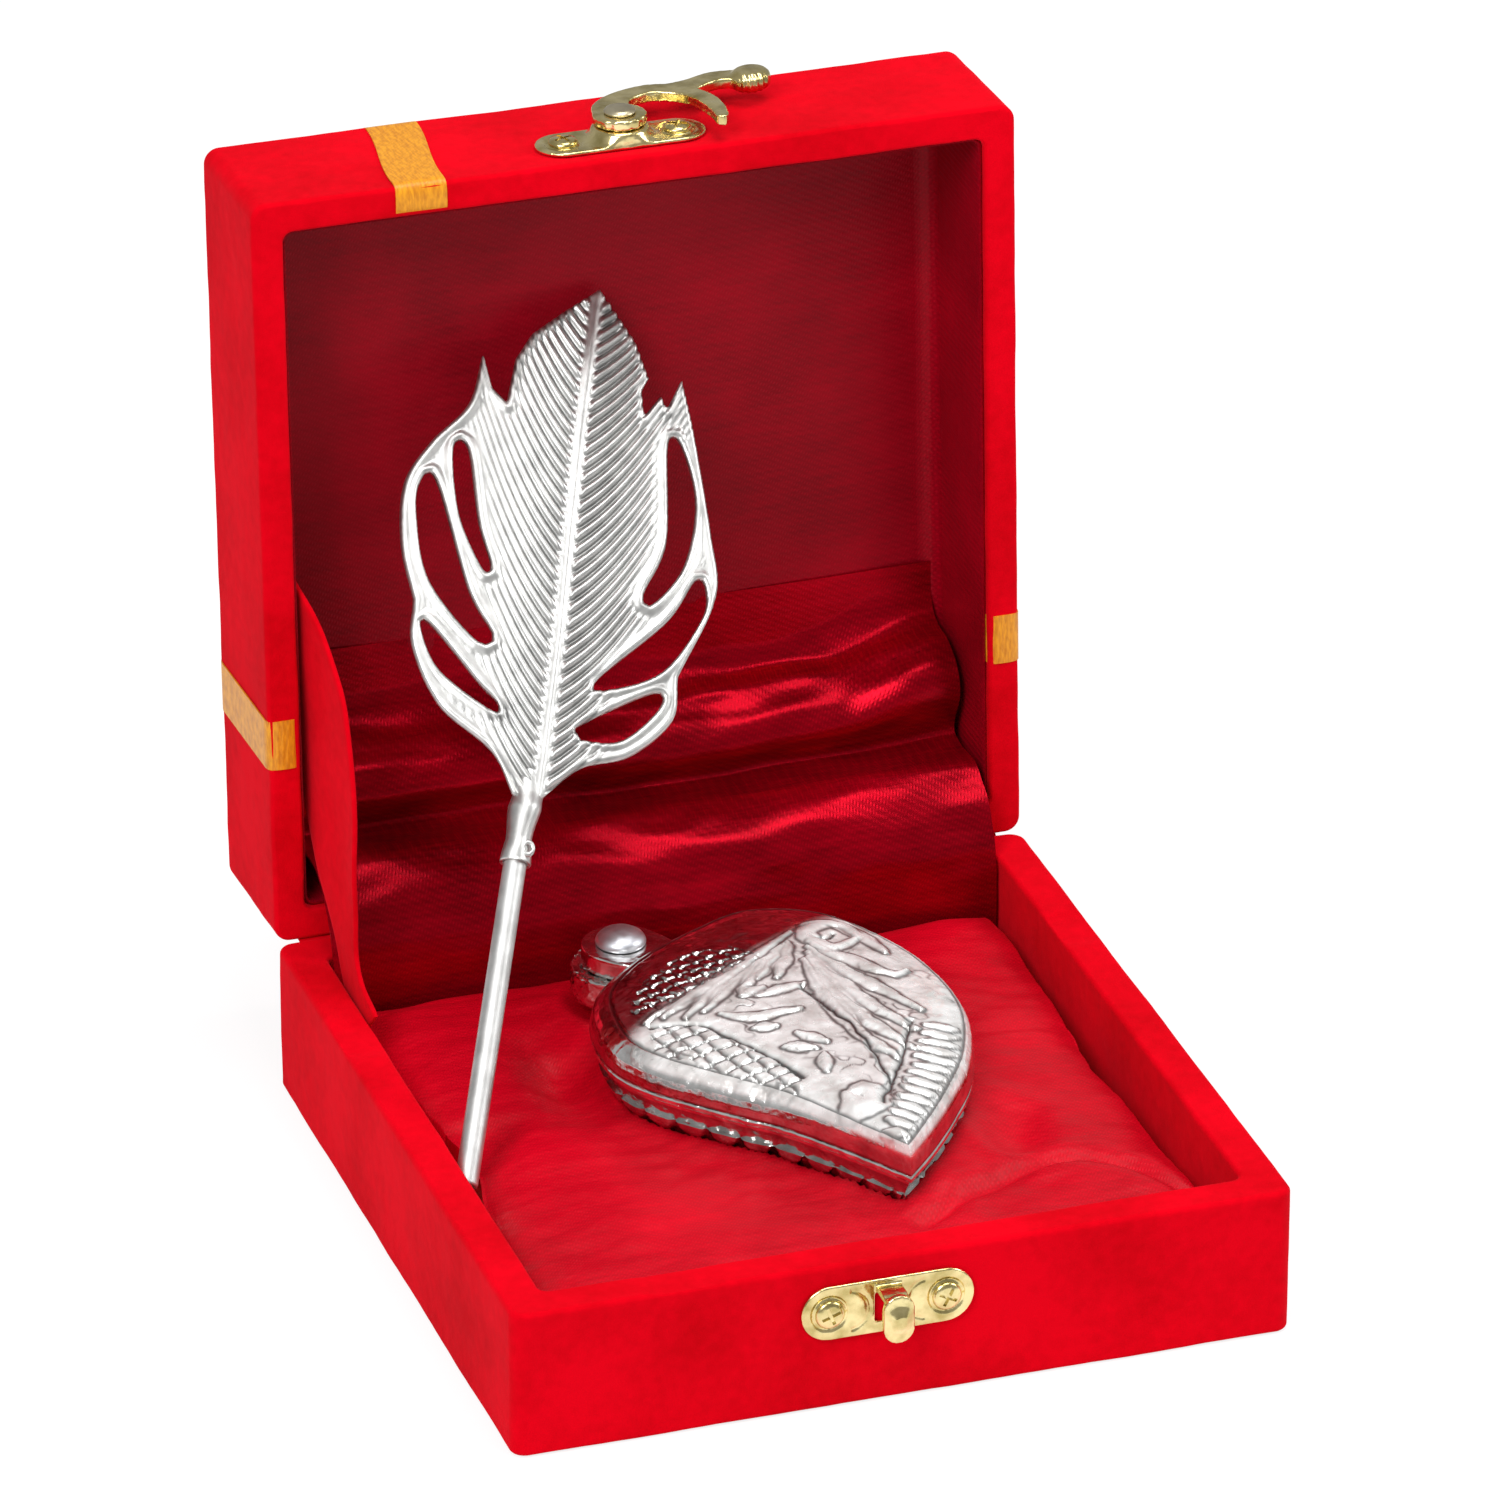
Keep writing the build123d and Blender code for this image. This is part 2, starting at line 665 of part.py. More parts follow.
nodes = {
    "base_floor": base_floor(),
    "base_walls": base_walls(),
    "base_cover": base_cover(),
    "pad": pad(),
    "lid_walls": opened(lid_walls()),
    "lid_panel": opened(lid_panel()),
    "lid_cover": opened(lid_cover()),
    "lid_lining": opened(lid_lining()),
    "ribbon_long": opened(ribbon_band(True)),
    "ribbon_cross": opened(ribbon_cross()),
    "hinge_drape": hinge_drape(),
    "hinge_cloth": hinge_cloth(),
    "stay_strap": stay_strap(),
    "hook_plate": opened(hook_plate()),
    "hook_screws": opened(screw_pair(hook_plate_x, base_height + hook_plate_above_rim)),
    "hook_arm": opened(hook_arm()),
    "hook_rivet": opened(hook_rivet()),
    "keeper_plate": keeper_plate(),
    "keeper_screws": screw_pair(keeper_x, keeper_height),
    "container_base": container_base(),
    "container_lid": container_lid(),
    "container_rivet": container_rivet(),
    "rivet_washer": rivet_washer(),
    "applicator_head": applicator_head(),
    "applicator_stem": applicator_stem(),
}

os.makedirs("parts", exist_ok=True)
for name, shape in nodes.items():
    export_step(shape, f"parts/{name}.step")
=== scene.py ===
"""Leaf-shaped kumkum container and leaf-headed applicator in their open velvet case."""
import json
import logging
import math
from dataclasses import dataclass
from enum import Enum
from typing import Any, Callable, Optional, Sequence

import bpy
import numpy as np
from mathutils import Matrix, Vector, noise

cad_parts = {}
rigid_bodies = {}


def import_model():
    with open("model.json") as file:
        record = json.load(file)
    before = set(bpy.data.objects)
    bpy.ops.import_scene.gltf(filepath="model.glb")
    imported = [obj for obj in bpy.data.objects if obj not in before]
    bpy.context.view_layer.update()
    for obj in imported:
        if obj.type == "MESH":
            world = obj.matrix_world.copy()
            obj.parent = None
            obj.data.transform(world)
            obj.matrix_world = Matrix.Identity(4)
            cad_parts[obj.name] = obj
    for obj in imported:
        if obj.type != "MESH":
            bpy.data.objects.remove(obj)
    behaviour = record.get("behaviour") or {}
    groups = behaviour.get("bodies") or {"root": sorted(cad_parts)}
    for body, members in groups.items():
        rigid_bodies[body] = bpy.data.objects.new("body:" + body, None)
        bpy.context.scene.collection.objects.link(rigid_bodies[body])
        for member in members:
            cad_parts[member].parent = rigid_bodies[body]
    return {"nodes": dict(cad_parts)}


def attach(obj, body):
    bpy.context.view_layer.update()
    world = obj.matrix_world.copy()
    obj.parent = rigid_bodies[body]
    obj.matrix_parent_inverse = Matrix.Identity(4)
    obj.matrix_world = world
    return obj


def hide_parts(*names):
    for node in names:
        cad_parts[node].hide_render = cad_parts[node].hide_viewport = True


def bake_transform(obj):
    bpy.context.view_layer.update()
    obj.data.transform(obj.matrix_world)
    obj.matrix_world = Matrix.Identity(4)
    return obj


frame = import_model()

MM = 0.001
LOG = logging.getLogger("kumkum_set")
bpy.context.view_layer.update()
PLAIN = (1.0, 1.0, 1.0)
Points = Sequence[tuple[float, ...]]


class Body(Enum):
    """The moving bodies that the pieces ride on."""

    BASE = "case_base"
    LID = "lid"
    HOOK = "hook"
    CONTAINER = "container"
    COVER = "container_cover"
    APPLICATOR = "applicator"


class Slot(Enum):
    """The finish slots that the set's pieces share."""

    VELVET = "velvet"
    SATIN = "satin"
    RIBBON = "gold_ribbon"
    BRASS = "latch_brass"
    SILVER = "silver"


class Graph:
    """The node tree of one finish, with short calls for the nodes that finishes share."""

    def __init__(self, name: str) -> None:
        """Start a finish.

        Args:
            name: the finish's name.
        """
        self.material = bpy.data.materials.new(name)
        self.material.use_nodes = True
        tree = self.material.node_tree
        self.nodes, self.links = tree.nodes, tree.links
        self.surface = self.nodes["Principled BSDF"]
        coordinates = self.nodes.new("ShaderNodeTexCoord")
        scale = self.nodes.new("ShaderNodeVectorMath")
        scale.operation = "SCALE"
        scale.inputs["Scale"].default_value = 1000.0
        self.links.new(coordinates.outputs["Object"], scale.inputs[0])
        self.mm = scale.outputs[0]

    def constant(self, **values: Any) -> None:
        """Set fixed values on the surface's own sockets.

        Args:
            values: socket names, with underscores for spaces, and their values.
        """
        for key, value in values.items():
            self.surface.inputs[key.replace("_", " ")].default_value = value

    def stretch(
        self, factors: tuple[float, float, float], turn: float = 0.0, where: Any = None, tilt: float = 0.0
    ) -> Any:
        """Coordinates, stretched, tilted about X and turned about Z.

        Args:
            factors: scale on each axis.
            turn: angle about Z in degrees.
            where: vector socket, or None for plain millimetres.
            tilt: angle about X in degrees.

        Returns:
            The vector socket.
        """
        node = self.nodes.new("ShaderNodeMapping")
        node.inputs["Scale"].default_value = factors
        node.inputs["Rotation"].default_value = (math.radians(tilt), 0.0, math.radians(turn))
        self.links.new(where or self.mm, node.inputs["Vector"])
        return node.outputs[0]

    def painted(self, name: str) -> Any:
        """A value stored at the mesh's points.

        Args:
            name: the attribute's name.

        Returns:
            The factor socket.
        """
        node = self.nodes.new("ShaderNodeAttribute")
        node.attribute_name = name
        return node.outputs["Fac"]

    def noise(self, scale: float, detail: float = 3.0, where: Any = None) -> Any:
        """Noise with features per millimetre.

        Args:
            scale: features in a millimetre.
            detail: octaves.
            where: vector socket, or None for plain millimetres.

        Returns:
            The factor socket.
        """
        node = self.nodes.new("ShaderNodeTexNoise")
        node.inputs["Scale"].default_value = scale
        node.inputs["Detail"].default_value = detail
        self.links.new(where or self.mm, node.inputs["Vector"])
        return node.outputs["Fac"]

    def wave(self, scale: float, where: Any, distortion: float = 0.0) -> Any:
        """Bands along X of a vector.

        Args:
            scale: bands in a millimetre, times about 0.3.
            where: vector socket.
            distortion: how much the bands wander.

        Returns:
            The factor socket.
        """
        node = self.nodes.new("ShaderNodeTexWave")
        node.inputs["Scale"].default_value = scale
        node.inputs["Distortion"].default_value = distortion
        node.inputs["Detail"].default_value = 1.0
        self.links.new(where, node.inputs["Vector"])
        return node.outputs["Fac"]

    def calc(self, operation: str, first: Any, second: Any) -> Any:
        """One arithmetic step on sockets or numbers.

        Args:
            operation: the node's operation.
            first: socket or number.
            second: socket or number.

        Returns:
            The value socket.
        """
        node = self.nodes.new("ShaderNodeMath")
        node.operation = operation
        for index, value in enumerate((first, second)):
            if isinstance(value, (int, float)):
                node.inputs[index].default_value = value
            else:
                self.links.new(value, node.inputs[index])
        return node.outputs[0]

    def ramp(self, factor: Any, stops: Sequence[tuple[float, Sequence[float]]]) -> Any:
        """Colours along a factor.

        Args:
            factor: value socket.
            stops: position and colour of each stop.

        Returns:
            The colour socket.
        """
        node = self.nodes.new("ShaderNodeValToRGB")
        elements = node.color_ramp.elements
        while len(elements) < len(stops):
            elements.new(0.5)
        for element, (place, colour) in zip(elements, stops):
            element.position = place
            element.color = (*colour, 1.0)
        self.links.new(factor, node.inputs["Fac"])
        return node.outputs["Color"]

    def span(self, factor: Any, low: float, high: float) -> Any:
        """A factor moved to the range from low to high.

        Args:
            factor: value socket from 0 to 1.
            low: new least value.
            high: new greatest value.

        Returns:
            The value socket.
        """
        node = self.nodes.new("ShaderNodeMapRange")
        node.inputs["To Min"].default_value = low
        node.inputs["To Max"].default_value = high
        self.links.new(factor, node.inputs["Value"])
        return node.outputs[0]

    def bump(self, height: Any, strength: float, distance: float, below: Any = None) -> Any:
        """A bump from a height.

        Args:
            height: value socket.
            strength: from 0 to 1.
            distance: depth in millimetres.
            below: normal socket of the bump under this one.

        Returns:
            The normal socket.
        """
        node = self.nodes.new("ShaderNodeBump")
        node.inputs["Strength"].default_value = strength
        node.inputs["Distance"].default_value = distance * MM
        self.links.new(height, node.inputs["Height"])
        if below is not None:
            self.links.new(below, node.inputs["Normal"])
        return node.outputs[0]

    def wire(self, socket: Any, name: str) -> None:
        """Link a socket to the surface.

        Args:
            socket: output socket.
            name: the surface's input.
        """
        self.links.new(socket, self.surface.inputs[name])


@dataclass(frozen=True)
class Velvet:
    """Short-pile velvet, with cloudy nap marks and a bright sheen at grazing angles."""

    name: str = "velvet"
    deep: tuple[float, float, float] = (0.50, 0.0, 0.004)
    bright: tuple[float, float, float] = (0.70, 0.0, 0.008)

    def make(self) -> bpy.types.Material:
        """Build the finish."""
        g = Graph(self.name)
        clouds = g.noise(0.045, 4.0)
        nap = g.noise(0.5, 4.0)
        mixed = g.calc("ADD", g.calc("MULTIPLY", clouds, 0.7), g.calc("MULTIPLY", nap, 0.3))
        g.wire(g.ramp(mixed, [(0.32, self.deep), (0.6, self.bright)]), "Base Color")
        g.constant(Roughness=0.9, Sheen_Weight=0.3, Sheen_Roughness=0.4)
        g.constant(Sheen_Tint=(1.0, 0.06, 0.09, 1.0), Specular_IOR_Level=0.03)
        pile = g.bump(g.noise(3.2, 2.0), 0.35, 0.12)
        g.wire(g.bump(g.noise(0.16, 3.0), 0.3, 0.5, pile), "Normal")
        return g.material


@dataclass(frozen=True)
class Satin:
    """Woven satin with a fine dotted twill and a soft gloss."""

    name: str
    deep: tuple[float, float, float]
    bright: tuple[float, float, float]
    gloss: float
    weave_depth: float
    turn: float = 0.0
    upright: bool = False
    shine: float = 0.4
    lustre: float = 0.0

    def make(self) -> bpy.types.Material:
        """Build the finish."""
        g = Graph(self.name)
        flat = g.stretch(PLAIN, tilt=-90.0) if self.upright else g.mm
        along = g.wave(0.62, g.stretch(PLAIN, 28.0 + self.turn, flat), 0.4)
        across = g.wave(0.34, g.stretch(PLAIN, -62.0 + self.turn, flat), 0.6)
        twill = g.calc("MULTIPLY", along, across)
        streaks = g.noise(1.6, 2.0, g.stretch((0.09, 1.0, 1.0), self.turn))
        clouds = g.noise(0.05, 3.0)
        tone = g.calc("ADD", g.calc("MULTIPLY", twill, 0.16), g.calc("MULTIPLY", streaks, 0.34))
        tone = g.calc("ADD", tone, g.calc("MULTIPLY", clouds, 0.6))
        g.wire(g.ramp(tone, [(0.25, self.deep), (0.72, self.bright)]), "Base Color")
        g.wire(g.span(streaks, self.gloss - 0.06, self.gloss + 0.08), "Roughness")
        g.constant(Specular_IOR_Level=self.shine, Metallic=self.lustre)
        g.constant(Sheen_Weight=0.03, Sheen_Roughness=0.4)
        g.constant(Sheen_Tint=(1.0, 0.1, 0.1, 1.0), Specular_Tint=(1.0, 0.25, 0.27, 1.0))
        weave = g.bump(twill, 0.6, self.weave_depth)
        slubs = g.noise(0.35, 3.0, g.stretch((0.25, 1.0, 1.0), self.turn))
        g.wire(g.bump(slubs, 0.35, 0.25, weave), "Normal")
        return g.material


@dataclass(frozen=True)
class RibbonSatin:
    """Golden satin ribbon with fine ribs across it."""

    name: str = "gold_ribbon"
    deep: tuple[float, float, float] = (0.54, 0.18, 0.002)
    bright: tuple[float, float, float] = (0.76, 0.31, 0.006)

    def make(self) -> bpy.types.Material:
        """Build the finish."""
        g = Graph(self.name)
        threads = g.noise(2.4, 2.0, g.stretch((1.0, 0.25, 0.25)))
        g.wire(g.ramp(threads, [(0.3, self.deep), (0.66, self.bright)]), "Base Color")
        g.constant(Roughness=0.42, Specular_IOR_Level=0.4, Sheen_Weight=0.04)
        g.constant(Sheen_Tint=(1.0, 0.75, 0.3, 1.0))
        ribs = g.calc("ADD", g.wave(0.5, g.stretch(PLAIN, 45.0)), g.noise(3.0, 2.0))
        g.wire(g.bump(ribs, 0.4, 0.05), "Normal")
        return g.material


@dataclass(frozen=True)
class Metal:
    """A metal with uneven polish, small dents and dull grains, optionally with a painted reflection and
    painted shade stored at the mesh's points.
    """

    name: str
    dark: tuple[float, float, float]
    light: tuple[float, float, float]
    smooth: float
    rough: float
    dent: float
    grain: float
    grain_scale: float = 1.6
    # Whether the mesh carries a painted reflection and painted shade.
    frosted: bool = False

    def make(self) -> bpy.types.Material:
        """Build the finish."""
        g = Graph(self.name)
        patches = g.noise(0.28, 4.0)
        colour = g.ramp(patches, [(0.3, self.dark), (0.62, self.light)])
        g.constant(Metallic=1.0)
        rough = g.span(g.noise(0.9, 3.0), self.smooth, self.rough)
        if self.frosted:
            # Painted reflection: where it is painted, the metal is made less metallic and rougher, so it
            # reads matte white as if reflecting the light.
            frost = g.painted("frost")
            rough = g.calc("ADD", rough, g.calc("MULTIPLY", frost, 0.10))
            g.wire(g.calc("SUBTRACT", 1.0, g.calc("MULTIPLY", frost, 0.68)), "Metallic")
            # Painted shade: the base colour is darkened where shade is painted on the mesh.
            light = g.calc("SUBTRACT", 1.0, g.calc("MULTIPLY", g.painted("recess"), 0.86))
            darker = g.nodes.new("ShaderNodeVectorMath")
            darker.operation = "SCALE"
            g.links.new(colour, darker.inputs[0])
            g.links.new(light, darker.inputs["Scale"])
            colour = darker.outputs[0]
        g.wire(colour, "Base Color")
        g.wire(rough, "Roughness")
        grain = g.bump(g.noise(self.grain_scale, 4.0), 0.5, self.grain)
        g.wire(g.bump(g.noise(0.3, 2.0), 0.6, self.dent, grain), "Normal")
        return g.material


@dataclass(frozen=True)
class Board:
    """Grey-brown pressed board with flecks."""

    name: str = "pressed_board"
    deep: tuple[float, float, float] = (0.22, 0.17, 0.12)
    bright: tuple[float, float, float] = (0.42, 0.34, 0.25)

    def make(self) -> bpy.types.Material:
        """Build the finish."""
        g = Graph(self.name)
        flecks = g.noise(0.9, 5.0, g.stretch((1.0, 0.3, 1.0)))
        g.wire(g.ramp(flecks, [(0.3, self.deep), (0.7, self.bright)]), "Base Color")
        g.constant(Roughness=0.85)
        g.wire(g.bump(flecks, 0.4, 0.1), "Normal")
        return g.material


class Bench:
    """Shop work that the sub-assemblies share: primitives, edit operators and applied modifiers."""

    FRONT = 63.5
    HINGE = (63.5, 25.0)
    OPEN_ANGLE = math.radians(93.4)

    @staticmethod
    def pick(obj: bpy.types.Object) -> None:
        """Make one object the only selected and active one.

        Args:
            obj: the object.
        """
        for other in bpy.context.view_layer.objects:
            other.select_set(False)
        obj.select_set(True)
        bpy.context.view_layer.objects.active = obj

    @staticmethod
    def fresh() -> None:
        """Deselect everything before a primitive is added."""
        for other in bpy.context.view_layer.objects:
            other.select_set(False)

    @staticmethod
    def read(obj: bpy.types.Object) -> np.ndarray:
        """A mesh's points in millimetres.

        Args:
            obj: mesh object at the origin.

        Returns:
            Array of points.
        """
        flat = np.empty(len(obj.data.vertices) * 3)
        obj.data.vertices.foreach_get("co", flat)
        return flat.reshape(-1, 3) / MM

    @staticmethod
    def write(obj: bpy.types.Object, points: np.ndarray) -> None:
        """Put a mesh's points where they belong.

        Args:
            obj: mesh object at the origin.
            points: array in millimetres.
        """
        obj.data.vertices.foreach_set("co", (np.asarray(points) * MM).ravel())
        obj.data.update()

    @classmethod
    def edit(cls, obj: bpy.types.Object, *actions: Callable[[], Any]) -> None:
        """Run edit-mode operators on all of a mesh.

        Args:
            obj: the mesh object.
            actions: calls to run in order.
        """
        cls.pick(obj)
        bpy.ops.object.mode_set(mode="EDIT")
        bpy.ops.mesh.select_all(action="SELECT")
        for action in actions:
            action()
        bpy.ops.object.mode_set(mode="OBJECT")

    @classmethod
    def modify(cls, obj: bpy.types.Object, kind: str, **settings: Any) -> None:
        """Add a modifier and apply it.

        Args:
            obj: the mesh object.
            kind: modifier type.
            settings: its values.
        """
        cls.pick(obj)
        modifier = obj.modifiers.new(kind.title(), kind)
        for key, value in settings.items():
            setattr(modifier, key, value)
        bpy.ops.object.modifier_apply(modifier=modifier.name)

    @classmethod
    def smooth(cls, obj: bpy.types.Object, degrees: float = 40.0) -> None:
        """Shade smooth, with edges sharper than an angle kept.

        Args:
            obj: the mesh object.
            degrees: the angle.
        """
        cls.pick(obj)
        bpy.ops.object.shade_smooth_by_angle(angle=math.radians(degrees))

    @classmethod
    def grid(
        cls,
        name: str,
        columns: int,
        rows: int,
        place: Callable[[np.ndarray, np.ndarray], np.ndarray],
        weld: bool = False,
    ) -> bpy.types.Object:
        """A grid primitive laid onto a surface.

        Args:
            name: the piece's name.
            columns: cells along u.
            rows: cells along v.
            place: gives millimetre points for arrays of u and v from 0 to 1.
            weld: merge points that meet, and turn the faces outwards.

        Returns:
            The object.
        """
        cls.fresh()
        bpy.ops.mesh.primitive_grid_add(x_subdivisions=columns, y_subdivisions=rows, size=1.0)
        obj = bpy.context.object
        obj.name = name
        flat = cls.read(obj) * MM
        cls.write(obj, place(np.round(flat[:, 0] + 0.5, 6), np.round(flat[:, 1] + 0.5, 6)))
        if weld:
            cls.edit(
                obj,
                lambda: bpy.ops.mesh.remove_doubles(threshold=2e-6),
                lambda: bpy.ops.mesh.normals_make_consistent(inside=False),
            )
        return obj

    @classmethod
    def plate(cls, name: str, outline: np.ndarray, thickness: float, rim: float) -> bpy.types.Object:
        """A flat blank: a filled circle primitive drawn to an outline, extruded and rounded.

        Args:
            name: the piece's name.
            outline: loop of points in the plate's plane.
            thickness: in millimetres.
            rim: edge rounding in millimetres, or 0 for none.

        Returns:
            The object, from height 0 to its thickness.
        """
        cls.fresh()
        bpy.ops.mesh.primitive_circle_add(vertices=len(outline), radius=1.0, fill_type="NGON")
        obj = bpy.context.object
        obj.name = name
        cls.write(obj, np.column_stack([outline, np.zeros(len(outline))]))
        lift = (0.0, 0.0, thickness * MM)
        cls.edit(
            obj,
            lambda: bpy.ops.mesh.extrude_region_move(TRANSFORM_OT_translate={"value": lift}),
            lambda: bpy.ops.mesh.select_all(action="SELECT"),
            lambda: bpy.ops.mesh.normals_make_consistent(inside=False),
        )
        if rim:
            cls.modify(obj, "BEVEL", width=rim * MM, segments=3, limit_method="ANGLE", angle_limit=1.0)
        return obj

    @classmethod
    def block(cls, size: Sequence[float], centre: Sequence[float], turn: float = 0.0) -> bpy.types.Object:
        """A cube primitive of a size in a place.

        Args:
            size: length on each axis in millimetres.
            centre: its middle in millimetres.
            turn: angle about Z in degrees.

        Returns:
            The object.
        """
        cls.fresh()
        bpy.ops.mesh.primitive_cube_add(size=1.0, location=[value * MM for value in centre])
        obj = bpy.context.object
        obj.scale = [value * MM for value in size]
        obj.rotation_euler[2] = math.radians(turn)
        bpy.ops.object.transform_apply(location=True, rotation=True, scale=True)
        return obj

    @classmethod
    def cut(cls, obj: bpy.types.Object, tool: bpy.types.Object) -> None:
        """Cut one piece with another, which is then thrown away.

        Args:
            obj: the piece.
            tool: the cutter.
        """
        cls.modify(obj, "BOOLEAN", object=tool, operation="DIFFERENCE", solver="EXACT")
        bpy.data.objects.remove(tool)

    @classmethod
    def join(cls, name: str, pieces: Sequence[bpy.types.Object]) -> bpy.types.Object:
        """Join pieces into one object.

        Args:
            name: the new name.
            pieces: mesh objects.

        Returns:
            The joined object.
        """
        cls.pick(pieces[0])
        for piece in pieces[1:]:
            piece.select_set(True)
        bpy.ops.object.join()
        obj = bpy.context.object
        obj.name = name
        return obj

    @classmethod
    def fuse(cls, obj: bpy.types.Object, voxel: float, rounds: int) -> None:
        """Melt joined shells into one skin, as in a casting.

        Args:
            obj: the object.
            voxel: cell size in millimetres.
            rounds: smoothing rounds.
        """
        cls.modify(obj, "REMESH", mode="VOXEL", voxel_size=voxel * MM)
        if rounds:
            cls.modify(obj, "SMOOTH", factor=0.5, iterations=rounds)

    @classmethod
    def open_lid(cls, points: np.ndarray) -> np.ndarray:
        """Turn points of the closed lid to where it stands open.

        Args:
            points: array in millimetres.

        Returns:
            The turned array.
        """
        y, z = points[:, 1] - cls.HINGE[0], points[:, 2] - cls.HINGE[1]
        c, s = math.cos(-cls.OPEN_ANGLE), math.sin(-cls.OPEN_ANGLE)
        turned = points.copy()
        turned[:, 1] = cls.HINGE[0] + y * c - z * s
        turned[:, 2] = cls.HINGE[1] + y * s + z * c
        return turned

    @classmethod
    def to_front(cls, obj: bpy.types.Object, x: float, z: float, opened: bool) -> None:
        """Set a piece drawn in the plane on the case's front face.

        Args:
            obj: the piece, drawn with its face up.
            x: place along the front.
            z: height of its centre.
            opened: whether it then turns with the lid.
        """
        flat = cls.read(obj)
        placed = np.column_stack([x + flat[:, 0], -cls.FRONT - flat[:, 2], z + flat[:, 1]])
        cls.write(obj, cls.open_lid(placed) if opened else placed)

    @staticmethod
    def dress(obj: bpy.types.Object, material: bpy.types.Material) -> None:
        """Give an object one finish in place of what it has.

        Args:
            obj: the object.
            material: its finish.
        """
        obj.data.materials.clear()
        obj.data.materials.append(material)

    @classmethod
    def hand_over(
        cls,
        obj: bpy.types.Object,
        material: bpy.types.Material,
        slot: Slot,
        body: Optional[Body],
        nodes: Sequence[str] = (),
    ) -> bpy.types.Object:
        """Dress a finished piece and give it to its body.

        Args:
            obj: the piece.
            material: its finish.
            slot: the finish slot meant for it; not used.
            body: the body that it rides on, or None for a piece that spans two, which is left on no body.
            nodes: the frame's nodes that it stands for.

        Returns:
            The piece.
        """
        cls.dress(obj, material)
        if nodes:
            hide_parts(*nodes)
        if body is not None:
            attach(obj, body.value)
        LOG.info("%s: %d faces", obj.name, len(obj.data.polygons))
        return obj


class Line:
    """Smooth lines through given points."""

    @staticmethod
    def through(points: Points, count: int, closed: bool = False) -> np.ndarray:
        """Evenly spaced points on a Catmull-Rom line.

        Args:
            points: the points it passes through.
            count: how many points come back.
            closed: whether the line is a loop.

        Returns:
            Array of points; a loop doesn't repeat its first.
        """
        p = np.array(points, float)
        if closed:
            p = np.vstack([p[-1], p, p[0], p[1]])
        else:
            p = np.vstack([2 * p[0] - p[1], p, 2 * p[-1] - p[-2]])
        t = np.linspace(0, 1, 24, endpoint=False)[:, None]
        parts = []
        for a, b, c, d in zip(p, p[1:], p[2:], p[3:]):
            square, cube = 2 * a - 5 * b + 4 * c - d, 3 * b - a - 3 * c + d
            parts.append(0.5 * (2 * b + (c - a) * t + square * t**2 + cube * t**3))
        return Line.even(np.vstack([*parts, p[-2][None]]), count, closed)

    @staticmethod
    def run(points: np.ndarray) -> np.ndarray:
        """Length along a line up to each of its points.

        Args:
            points: array of points.

        Returns:
            The lengths, from 0.
        """
        return np.concatenate([[0], np.cumsum(np.linalg.norm(np.diff(points, axis=0), axis=1))])

    @staticmethod
    def even(dense: np.ndarray, count: int, closed: bool) -> np.ndarray:
        """Evenly spaced points along a dense line.

        Args:
            dense: array of points; a loop ends where it starts.
            count: how many points come back.
            closed: whether the line is a loop.

        Returns:
            Array of points; a loop doesn't repeat its first.
        """
        run = Line.run(dense)
        wanted = np.linspace(0, run[-1], count + 1)[:-1] if closed else np.linspace(0, run[-1], count)
        return np.column_stack([np.interp(wanted, run, column) for column in dense.T])

    @staticmethod
    def away(points: np.ndarray, line: np.ndarray) -> np.ndarray:
        """Distance of points from a polyline.

        Args:
            points: array of points.
            line: array of the line's points.

        Returns:
            The distances.
        """
        return Line.near(points, line)[0]

    @staticmethod
    def near(points: np.ndarray, line: np.ndarray) -> tuple[np.ndarray, np.ndarray]:
        """Distance of points from a polyline, and where along it they lie.

        Args:
            points: array of points.
            line: array of the line's points.

        Returns:
            The distances, and the places from 0 to 1.
        """
        best, at = np.full(len(points), 1e9), np.zeros(len(points))
        for number, (a, b) in enumerate(zip(line, line[1:])):
            d = b - a
            t = np.clip(((points - a) @ d) / max(d @ d, 1e-9), 0, 1)
            away = np.linalg.norm(points - a - t[:, None] * d, axis=1)
            closer = away < best
            at = np.where(closer, (number + t) / (len(line) - 1), at)
            best = np.where(closer, away, best)
        return best, at

    @staticmethod
    def pill(length: float, width: float, count: int) -> np.ndarray:
        """A pill-shaped loop.

        Args:
            length: end to end.
            width: across.
            count: points, a multiple of 4.

        Returns:
            Array of points, evenly spaced.
        """
        r, half = width / 2, (length - width) / 2
        angles = np.linspace(-math.pi / 2, math.pi / 2, 60)
        arc = [(half + r * math.cos(a), r * math.sin(a)) for a in angles]
        return Line.even(np.array(arc + [(-x, -y) for x, y in arc] + arc[:1]), count, True)


def ripple(points: np.ndarray, size: float, seed: float) -> np.ndarray:
    """Smooth noise from about -1 to 1 at points.

    Args:
        points: array in millimetres, of any width.
        size: feature size in millimetres.
        seed: shifts the pattern.

    Returns:
        Array of values.
    """
    wide = np.zeros((len(points), 3))
    wide[:, : points.shape[1]] = points / size
    return np.array([noise.noise(Vector((x + seed, y - seed, z + 2 * seed))) for x, y, z in wide])


def bell(distance: np.ndarray, width: float) -> np.ndarray:
    """A soft hump, 1 at distance 0.

    Args:
        distance: array of distances.
        width: half width.

    Returns:
        Array of heights.
    """
    return np.exp(-((distance / width) ** 2))


def step(value: np.ndarray, low: float, high: float) -> np.ndarray:
    """A smooth step from 0 at low to 1 at high.

    Args:
        value: array of values.
        low: start.
        high: end.

    Returns:
        Array from 0 to 1.
    """
    t = np.clip((value - low) / (high - low), 0, 1)
    return t * t * (3 - 2 * t)


